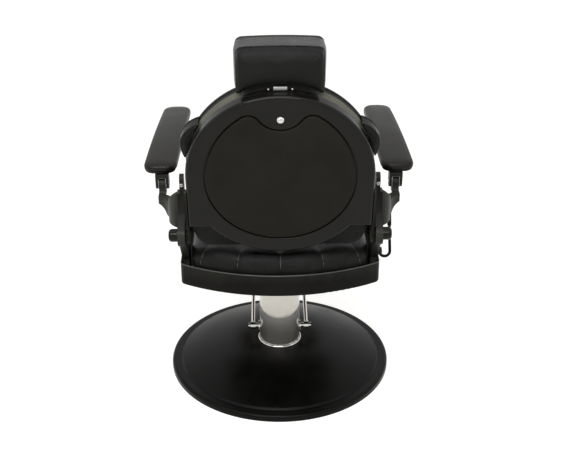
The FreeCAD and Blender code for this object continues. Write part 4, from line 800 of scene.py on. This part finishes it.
def add_back_cushion():
    channel, share = spread(BACK_CHANNELS)
    near, far = BACK_SEAMS
    knots = np.array([-1.0, -far, -near, 0.0, near, far, 1.0]) * BACK_R
    cuts = knots[channel] + share * (knots[channel + 1] - knots[channel])
    steep = np.abs(cuts) > knots[5]
    rim = math.asin(far)
    cuts[steep] = np.sign(cuts[steep]) * BACK_R * np.sin(
        rim + (np.abs(cuts[steep]) - knots[5]) / (BACK_R - knots[5]) * (math.pi / 2 - rim))
    rows = eased(76, 0.45)
    deep = 8
    keys, faces = lattice(len(cuts) - 1, len(rows) - 1, deep)
    i, j, k = keys.T
    x = cuts[i]
    low, high = back_plan(x)
    u = low + rows[j] * (high - low)
    x = x * back_width(u)
    rim_x = np.concatenate((cuts, cuts[::-1]))
    lows, highs = back_plan(cuts)
    rim_u = np.concatenate((lows, highs[::-1]))
    rim_line = np.stack((rim_x * back_width(rim_u), rim_u), axis=1)
    inside = edge_distance(np.stack((x, u), axis=1), rim_line)
    seams = knots[1:6]
    away = np.min(np.abs(cuts[i][:, None] - seams), axis=1)
    groove = np.exp(-(away / GROOVE_SIZE) ** 2) * np.clip(inside / GROOVE_FADE, 0.0, 1.0)
    crown = CUSHION_CROWN * (1.0 - (1.0 - np.clip(inside / CROWN_RUN, 0.0, 1.0)) ** 2)
    wave = np.abs(np.sin(math.pi * (cuts[i] / (near * BACK_R))))
    puff = BACK_PUFF[0] * wave * np.clip(inside / BACK_PUFF[1], 0.0, 1.0)
    roof = BORDER_DEEP + crown + puff - GROOVE_SIZE * groove
    slot = (np.abs(x) < SLOT_HALF) & (u > SLOT_FOOT)
    floor = np.where(slot, SLOT_DEEP, 0.0)
    t = floor + (roof - floor) * (k / deep)
    draw = BACK_DRAW[0] * np.clip(1.0 - t / BACK_DRAW[1], 0.0, 1.0) * (inside < BACK_DRAW[1])
    shrink = 1.0 - draw / BACK_R
    local = np.stack((x * shrink, CUSHION_REAR - t, BACK_CENTRE + (u - BACK_CENTRE) * shrink), axis=1)
    piece = make_piece("back_upholstery", placed(BACK, local), faces, LEATHER, "back")
    on_rim = on_border(i, j)
    on_seam = np.isin(i, np.cumsum(BACK_CHANNELS[:-1])) & (inside > BACK_DRAW[1])
    # The boxing faces take the light olive, painted light for the boxing lit from above
    piece.data.materials.append(BOXING_PAINTED_LIGHT)
    boxing = on_rim & (k <= BOXING_RANK)
    piece.data.polygons.foreach_set("material_index", [int(boxing[list(face)].all()) for face in faces])
    sewn = on_rim & np.isin(k, (BOXING_RANK, deep))
    swell(piece, (k == 0) | sewn | ((k == deep) & on_seam), BACK_SWELL)
    soften(piece)
    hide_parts("back_cushion")
    seam = BORDER_DEEP * BOXING_RANK / deep
    for rank, level, radius in (("front", BORDER_DEEP, 0.0032), ("boxing", seam, 0.0016)):
        welt = at_depth(rim_line, CUSHION_REAR - level)
        piping("back_%s_piping" % rank, placed(BACK, resampled(welt, 300)), radius, "back")


# Border band: the covered edge between the ring and the back cushion

BAND_LEVEL = -0.0049
BAND_HALF = (0.0052, 0.0058)
BAND_INSET = 0.0062
BAND_SIDES = 14
BAND_SQUARE = 0.6
SHELL_LEVEL = 0.004


def add_border_band():
    edge = star_edge("back_shell", BACK, (0.0, BACK_CENTRE), SHELL_LEVEL, on_face)
    edge = resampled(edge, 300)
    rings = []
    for turn in np.linspace(0.0, 2.0 * math.pi, BAND_SIDES, endpoint=False):
        across = math.copysign(abs(math.cos(turn)) ** BAND_SQUARE, math.cos(turn)) * BAND_HALF[0]
        along = math.copysign(abs(math.sin(turn)) ** BAND_SQUARE, math.sin(turn)) * BAND_HALF[1]
        rings.append(at_depth(moved_in(edge, BAND_INSET - across), BAND_LEVEL + along))
    points, faces = joined(rings + rings[:1], False, False)
    total = len(rings) * len(edge)
    faces = [tuple(corner % total for corner in face) for face in faces]
    piece = make_piece("back_border_band", placed(BACK, points[:total]), faces, PIPING, "back")


# Rolled bead on the top edge of the seat tub, painted light grey as a painted highlight along that edge

BEAD_LEVEL = 0.446
BEAD_INSET = 0.0014
BEAD_RADIUS = 0.0019


def add_tub_bead():
    edge = star_edge("seat_tub", Matrix.Identity(4), (0.0, 0.0), BEAD_LEVEL, on_plan)
    path = moved_in(resampled(edge, 360), BEAD_INSET)
    points, faces = tube(at_height(path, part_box("seat_tub")[1].z), BEAD_RADIUS, 10)
    # The bead's light grey is a painted highlight along the tub's top edge
    make_piece("tub_edge_bead", points, faces, BEAD_PAINTED_HIGHLIGHT, "seat")


# Screws: round heads with a socket

SCREW_SHAPE = ((1.0, 0.0), (1.0, 0.45), (0.86, 0.82), (0.5, 1.0), (0.44, 0.94), (0.40, 0.35))
SCREW_SIDES = 24
BEZEL_SCREW = (0.0297, 0.0008, 0.4612)
LUG_NUT = (0.2668, 0.2299, 0.7060)


def add_screw(name, spot, axis, radius, height, body, paint):
    """A screw head that stands on a face, its axis out of that face."""
    axis = Vector(axis).normalized()
    side = axis.orthogonal().normalized()
    other = axis.cross(side)
    turn = np.linspace(0.0, 2.0 * math.pi, SCREW_SIDES, endpoint=False)
    circle = np.outer(np.cos(turn), side) + np.outer(np.sin(turn), other)
    rings = []
    for wide, tall in SCREW_SHAPE:
        rings.append(np.array(spot) + circle * radius * wide + np.array(axis) * height * tall)
    points, faces = joined(rings)
    make_piece(name, points, faces, paint, body)


def add_bezel_screws():
    rearward = BACK.to_3x3() @ Vector((0.0, 1.0, 0.0))
    for side, sign in SIDES:
        spot = BACK @ Vector((sign * BEZEL_SCREW[0], BEZEL_SCREW[1], BEZEL_SCREW[2]))
        add_screw("bezel_screw_" + side, spot, rearward, 0.0024, 0.0022, "back", BRIGHT)


def add_lug_nuts():
    """The nuts that hold the rear stops on the posts."""
    for side, sign in SIDES:
        spot = Vector((sign * LUG_NUT[0], LUG_NUT[1], LUG_NUT[2]))
        add_screw("lug_nut_" + side, spot, (0.0, 1.0, 0.0), 0.0052, 0.0050, "seat", ZINC)


# Raised ribs on the latch, the foot tread and the pedal grip

LATCH_SPREAD = (-0.0140, 0.0145, 0.0020)
LATCH_RUN = (0.4608, 0.4682)
LATCH_LEVEL = 0.0041
TREAD_SPREAD = (-0.1470, -0.0235, 0.0075)
TREAD_HALF = 0.130
TREAD_LEVEL = -0.0030
GRIP_ENDS = (0.006, 0.005)
GRIP_STEP = 0.008


def add_ribs(name, paths, radius, paint, body, closed=False):
    points = []
    faces = []
    for path in paths:
        start = len(points)
        rib_points, rib_faces = tube(path, radius, 8, closed)
        points.extend(rib_points)
        faces.extend([tuple(start + corner for corner in face) for face in rib_faces])
    make_piece(name, points, faces, paint, body)


def add_latch_ribs():
    paths = []
    for across in np.arange(*LATCH_SPREAD):
        line = np.array([(across, LATCH_LEVEL, along) for along in np.linspace(*LATCH_RUN, 6)])
        paths.append(placed(BACK, line))
    add_ribs("latch_ribs", paths, 0.0007, ZINC, "back")


def add_tread_ribs():
    paths = []
    for along in np.arange(*TREAD_SPREAD):
        line = np.array([(across, along, TREAD_LEVEL) for across in np.linspace(-TREAD_HALF, TREAD_HALF, 8)])
        paths.append(placed(PLATE, line))
    add_ribs("tread_ribs", paths, 0.0015, RUBBER, "footplate")


def add_grip_ribs():
    low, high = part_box("pedal_grip")
    middle = (low + high) / 2.0
    radius = (high.z - low.z) / 2.0
    turn = np.linspace(0.0, 2.0 * math.pi, 28, endpoint=False)
    paths = []
    for across in np.arange(low.x + GRIP_ENDS[0], high.x - GRIP_ENDS[1], GRIP_STEP):
        ring = np.stack((np.full(len(turn), across), middle.y + radius * np.cos(turn),
                         middle.z + radius * np.sin(turn)), axis=1)
        paths.append(ring)
    add_ribs("grip_ribs", paths, 0.0011, RUBBER, "pedal", True)


# Back panel: the padded leather panel with two lobes inside the ring. Insets and levels in millimetres.

PANEL_LEVEL = 0.026
PANEL_EDGE = ((1.5, 23.8), (0.3, 25.5), (0.2, 28.0), (1.0, 30.0), (2.6, 31.3), (5.0, 32.0), (8.5, 32.5))
PANEL_SHARES = (0.94, 0.86, 0.76, 0.64, 0.5, 0.36, 0.22, 0.1)
PANEL_CROWN = 0.0016


def add_back_panel():
    edge = star_edge("back_panel", BACK, (0.0, BACK_CENTRE), PANEL_LEVEL, on_face)
    edge = resampled(edge, 320)
    rings = [at_depth(moved_in(edge, inset * MM), level * MM) for inset, level in PANEL_EDGE]
    rim = rings[-1].copy()
    for share in PANEL_SHARES:
        ring = rim.copy()
        ring[:, 0] = rim[:, 0] * share
        ring[:, 2] = BACK_CENTRE + (rim[:, 2] - BACK_CENTRE) * share
        ring[:, 1] = rim[:, 1] + PANEL_CROWN * (1.0 - share ** 2)
        rings.append(ring)
    points, faces = joined(rings[::-1])
    piece = make_piece("back_panel_leather", placed(BACK, points), faces, PANEL_LEATHER, "back")
    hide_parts("back_panel")


# Wings: the ear pads each side of the back. Insets and levels in millimetres.

WING_EDGE = ((14.0, 20.2), (8.0, 20.6), (3.5, 19.2), (1.2, 16.6), (0.4, 12.0), (0.1, 4.0))
WING_INSET = 3.5
WING_REACH = 20.0
WING_LEAST = 0.2
WELT_INSET = 0.6
WELT_LEVEL = 16.4
WING_WELT = 0.0019


def add_wing(side):
    name = "back_wing_" + side
    low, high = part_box(name)
    middle = BACK.inverted() @ ((low + high) / 2.0)
    edge = star_edge(name, BACK, (middle.x, middle.z), middle.y, on_face)
    edge = resampled(edge, 140)
    rings = []
    front_half = [(inset, -level) for inset, level in WING_EDGE[::-1]]
    for inset, level in (*WING_EDGE, *front_half):
        ring = moved_in(edge, min(inset, WING_INSET) * MM)
        if inset > WING_INSET:
            share = max(WING_LEAST, 1.0 - inset / WING_REACH)
            ring = edge.mean(axis=0) + (ring - edge.mean(axis=0)) * share
        rings.append(at_depth(ring, middle.y + level * MM))
    points, faces = joined(rings)
    piece = make_piece("wing_pad_" + side, placed(BACK, points), faces, LEATHER, "back")
    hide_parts(name)
    for rank, level in (("rear", WELT_LEVEL), ("front", -WELT_LEVEL)):
        welt = at_depth(moved_in(edge, WELT_INSET * MM), middle.y + level * MM)
        piping("wing_piping_%s_%s" % (rank, side), placed(BACK, welt), WING_WELT, "back")


# Headrest: an arched block with sewn front and rear panels and a gusset that bulges between them

HEAD_HALF = 0.1085
HEAD_CORNER = 0.017
HEAD_REAR = 0.008
HEAD_FRONT = 0.130
HEAD_FALL = 0.0265
HEAD_ARCH = 0.030
HEAD_FOOT = 0.012
HEAD_LOW = 0.4425
HEAD_TOP = 0.5655
HEAD_HEM = 0.0065
HEAD_SWELL = 0.006
HEAD_ROLL = (0.012, 0.030)
HEAD_SHOULDER = (0.020, 0.030)
HEAD_FLARE = 0.0045
HEAD_BULGE = 0.005
HEAD_BOW = 0.004
HEAD_FOOT_CORNER = 0.006
HEAD_WELT = (0.0016, 0.0010)


def head_lines(x):
    radius = (HEAD_HALF ** 2 + HEAD_ARCH ** 2) / (2.0 * HEAD_ARCH)
    low = HEAD_LOW + HEAD_ARCH - radius + np.sqrt(radius ** 2 - x ** 2)
    low = low + round_over(HEAD_HALF - np.abs(x), HEAD_FOOT_CORNER)
    high = HEAD_TOP - HEAD_BOW * (x / HEAD_HALF) ** 2 - round_over(HEAD_HALF - np.abs(x), HEAD_CORNER)
    return low, high


def head_point(x, v, t):
    """A point of the block: across, from foot to top, and how far ahead of the rear face."""
    low, high = head_lines(x)
    share = (t - HEAD_REAR) / (HEAD_FRONT - HEAD_REAR)
    low = low + HEAD_FOOT * share
    high = high - HEAD_FALL * share
    lean = roll_over((1.0 - v) * (high - low), *HEAD_SHOULDER) * (1.0 - share) ** 2
    wide = 1.0 + (HEAD_FLARE * share + 4.0 * HEAD_BULGE * share * (1.0 - share)) / HEAD_HALF
    return np.stack((x * wide, -t - lean, low + v * (high - low)), axis=1)


def add_headrest():
    cuts = HEAD_HALF * np.sin(np.linspace(-math.pi / 2, math.pi / 2, 55))
    cuts = 0.5 * cuts + 0.5 * np.linspace(-HEAD_HALF, HEAD_HALF, 55)
    rows = eased(26, 0.3)
    inner = HEAD_REAR + HEAD_HEM + (HEAD_FRONT - HEAD_REAR - 2.0 * HEAD_HEM) * eased(22, 0.3)
    levels = np.concatenate(([HEAD_REAR], inner, [HEAD_FRONT]))
    deep = len(levels) - 1
    keys, faces = lattice(len(cuts) - 1, len(rows) - 1, deep)
    i, j, k = keys.T
    local = head_point(cuts[i], rows[j], levels[k])
    around = [(x, 1.0) for x in cuts] + [(HEAD_HALF, v) for v in rows[::-1][1:-1]]
    around += [(x, 0.0) for x in cuts[::-1]] + [(-HEAD_HALF, v) for v in rows[1:-1]]
    around = np.array(around)
    rims = [head_point(around[:, 0], around[:, 1], np.full(len(around), t)) for t in (HEAD_REAR, HEAD_FRONT)]
    for rank, sign, rim in ((0, 1.0, rims[0]), (deep, -1.0, rims[1])):
        face = k == rank
        inside = edge_distance(local[face][:, [0, 2]], rim[:, [0, 2]])
        local[face, 1] += sign * (HEAD_ROLL[0] - roll_over(inside, *HEAD_ROLL))
    piece = make_piece("headrest_upholstery", placed(BACK, local), faces, LEATHER, "headrest")
    sewn = np.isin(k, (0, 1, deep - 1, deep)) & on_border(i, j)
    swell(piece, sewn | (j == 0), HEAD_SWELL)
    soften(piece)
    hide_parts("headrest_pad")
    wide, fine = HEAD_WELT
    for rank, t, radius in (("rear", levels[0], wide), ("rear_hem", levels[1], fine),
                            ("front_hem", levels[-2], fine), ("front", levels[-1], wide)):
        welt = head_point(around[:, 0], around[:, 1], np.full(len(around), t))
        piping("headrest_piping_" + rank, placed(BACK, resampled(welt, 240)), radius, "headrest")


# Arm pads: moulded bars with a rolled edge and a faint line inside it

ARM_REAR = 0.018
ARM_FRONT = -0.430
ARM_HALF = (0.0485, 0.0435)
ARM_SHIFT = (0.005, -0.017)
ARM_CORNER = (0.032, 0.036)
PAD_FOOT = 0.0443
PAD_TOP = 0.0692
PAD_CAMBER = 0.0105
PAD_LEVEL_SHARE = 0.4
PAD_ROUND = 0.0085
PAD_LINE = (0.0007, 0.0022)
PAD_SOFT = (0.0030, 0.040)
PAD_DRAW = (0.0030, 0.45)
PAD_DRAW_SIZE = (0.045, 0.22)
PAD_RIM = 0.03


def arm_sides(y):
    share = (ARM_REAR - y) / (ARM_REAR - ARM_FRONT)
    half = ARM_HALF[0] + share * (ARM_HALF[1] - ARM_HALF[0])
    half = half - round_over(ARM_REAR - y, ARM_CORNER[0]) - round_over(y - ARM_FRONT, ARM_CORNER[1])
    middle = ARM_SHIFT[0] + share * (ARM_SHIFT[1] - ARM_SHIFT[0])
    return middle - half, middle + half


def add_arm_pad(side, mirror):
    rows = ARM_FRONT + (ARM_REAR - ARM_FRONT) * eased(96, 0.55)
    cuts = eased(26, 0.45)
    deep = 6
    keys, faces = lattice(len(cuts) - 1, len(rows) - 1, deep)
    i, j, k = keys.T
    y = rows[j]
    near, far = arm_sides(y)
    x = near + cuts[i] * (far - near)
    nears, fars = arm_sides(rows)
    rim = np.vstack((np.stack((nears, rows), axis=1), np.stack((fars, rows), axis=1)[::-1]))
    inside = edge_distance(np.stack((x, y), axis=1), rim)
    line = PAD_LINE[0] * np.exp(-((inside - PAD_ROUND) / PAD_LINE[1]) ** 2)
    bow = (2.0 * y - ARM_REAR - ARM_FRONT) / (ARM_REAR - ARM_FRONT)
    top = PAD_TOP + PAD_CAMBER * (PAD_LEVEL_SHARE - bow ** 2) - round_over(inside, PAD_ROUND) - line
    top = top - PAD_SOFT[0] * (1.0 - np.clip(inside / PAD_SOFT[1], 0.0, 1.0)) ** 2
    share = k / deep
    z = PAD_FOOT + (top - PAD_FOOT) * share
    draw = PAD_DRAW[0] * (1.0 - np.clip(share / PAD_DRAW[1], 0.0, 1.0)) ** 2
    middle = (near + far) / 2.0
    x = middle + (x - middle) * (1.0 - draw / PAD_DRAW_SIZE[0])
    centre = (ARM_REAR + ARM_FRONT) / 2.0
    y = y + np.where(inside < PAD_RIM, (centre - y) * draw / PAD_DRAW_SIZE[1], 0.0)
    place = joint_place("arm_%s_flip" % side) @ Matrix.Rotation(-ARM_SLOPE, 4, "X")
    if mirror < 0.0:
        faces = [face[::-1] for face in faces]
    points = placed(place, np.stack((mirror * x, y, z), axis=1))
    piece = make_piece("arm_cushion_" + side, points, faces, ARM_SKIN, "arm_" + side)
    soften(piece)
    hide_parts("arm_pad_" + side)


# Calf pad: a soft pad on the footrest, with a piped edge

CALF_HALF = 0.181
CALF_SPAN = (-0.229, -0.063)
CALF_LEVEL = (0.0203, 0.0500)
CALF_CORNER = 0.030
CALF_EDGE = (0.014, 0.06)
CALF_SWELL = 0.008
CALF_WELT = 0.0026


def calf_half(y):
    return CALF_HALF - round_over(np.minimum(y - CALF_SPAN[0], CALF_SPAN[1] - y), CALF_CORNER)


def add_calf_pad():
    cuts = eased(58, 0.4)
    rows = eased(28, 0.4)
    deep = 6
    keys, faces = lattice(len(cuts) - 1, len(rows) - 1, deep)
    i, j, k = keys.T
    span = CALF_SPAN[0] + rows * (CALF_SPAN[1] - CALF_SPAN[0])
    halves = calf_half(span)
    x = (2.0 * cuts[i] - 1.0) * halves[j]
    y = span[j]
    rim = np.vstack((np.stack((halves, span), axis=1), np.stack((-halves, span), axis=1)[::-1]))
    inside = edge_distance(np.stack((x, y), axis=1), rim)
    top = CALF_LEVEL[1] - CALF_EDGE[0] * (1.0 - np.clip(inside / CALF_EDGE[1], 0.0, 1.0)) ** 2
    z = CALF_LEVEL[0] + (top - CALF_LEVEL[0]) * (k / deep)
    points = placed(FOOT, np.stack((x, y, z), axis=1))
    piece = make_piece("calf_upholstery", points, faces, LEATHER, "footrest")
    swell(piece, (k == 0) | ((k == deep) & on_border(i, j)), CALF_SWELL)
    soften(piece)
    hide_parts("calf_pad")
    welt = at_height(rim, CALF_LEVEL[1] - CALF_EDGE[0])
    piping("calf_piping", placed(FOOT, resampled(welt, 200)), CALF_WELT, "footrest")


add_seat_cushion()
add_back_cushion()
add_border_band()
add_tub_bead()
add_back_panel()
add_bezel_screws()
add_lug_nuts()
add_latch_ribs()
add_tread_ribs()
add_grip_ribs()
for side in ("left", "right"):
    add_wing(side)
add_headrest()
for side, sign in SIDES:
    add_arm_pad(side, sign)
add_calf_pad()
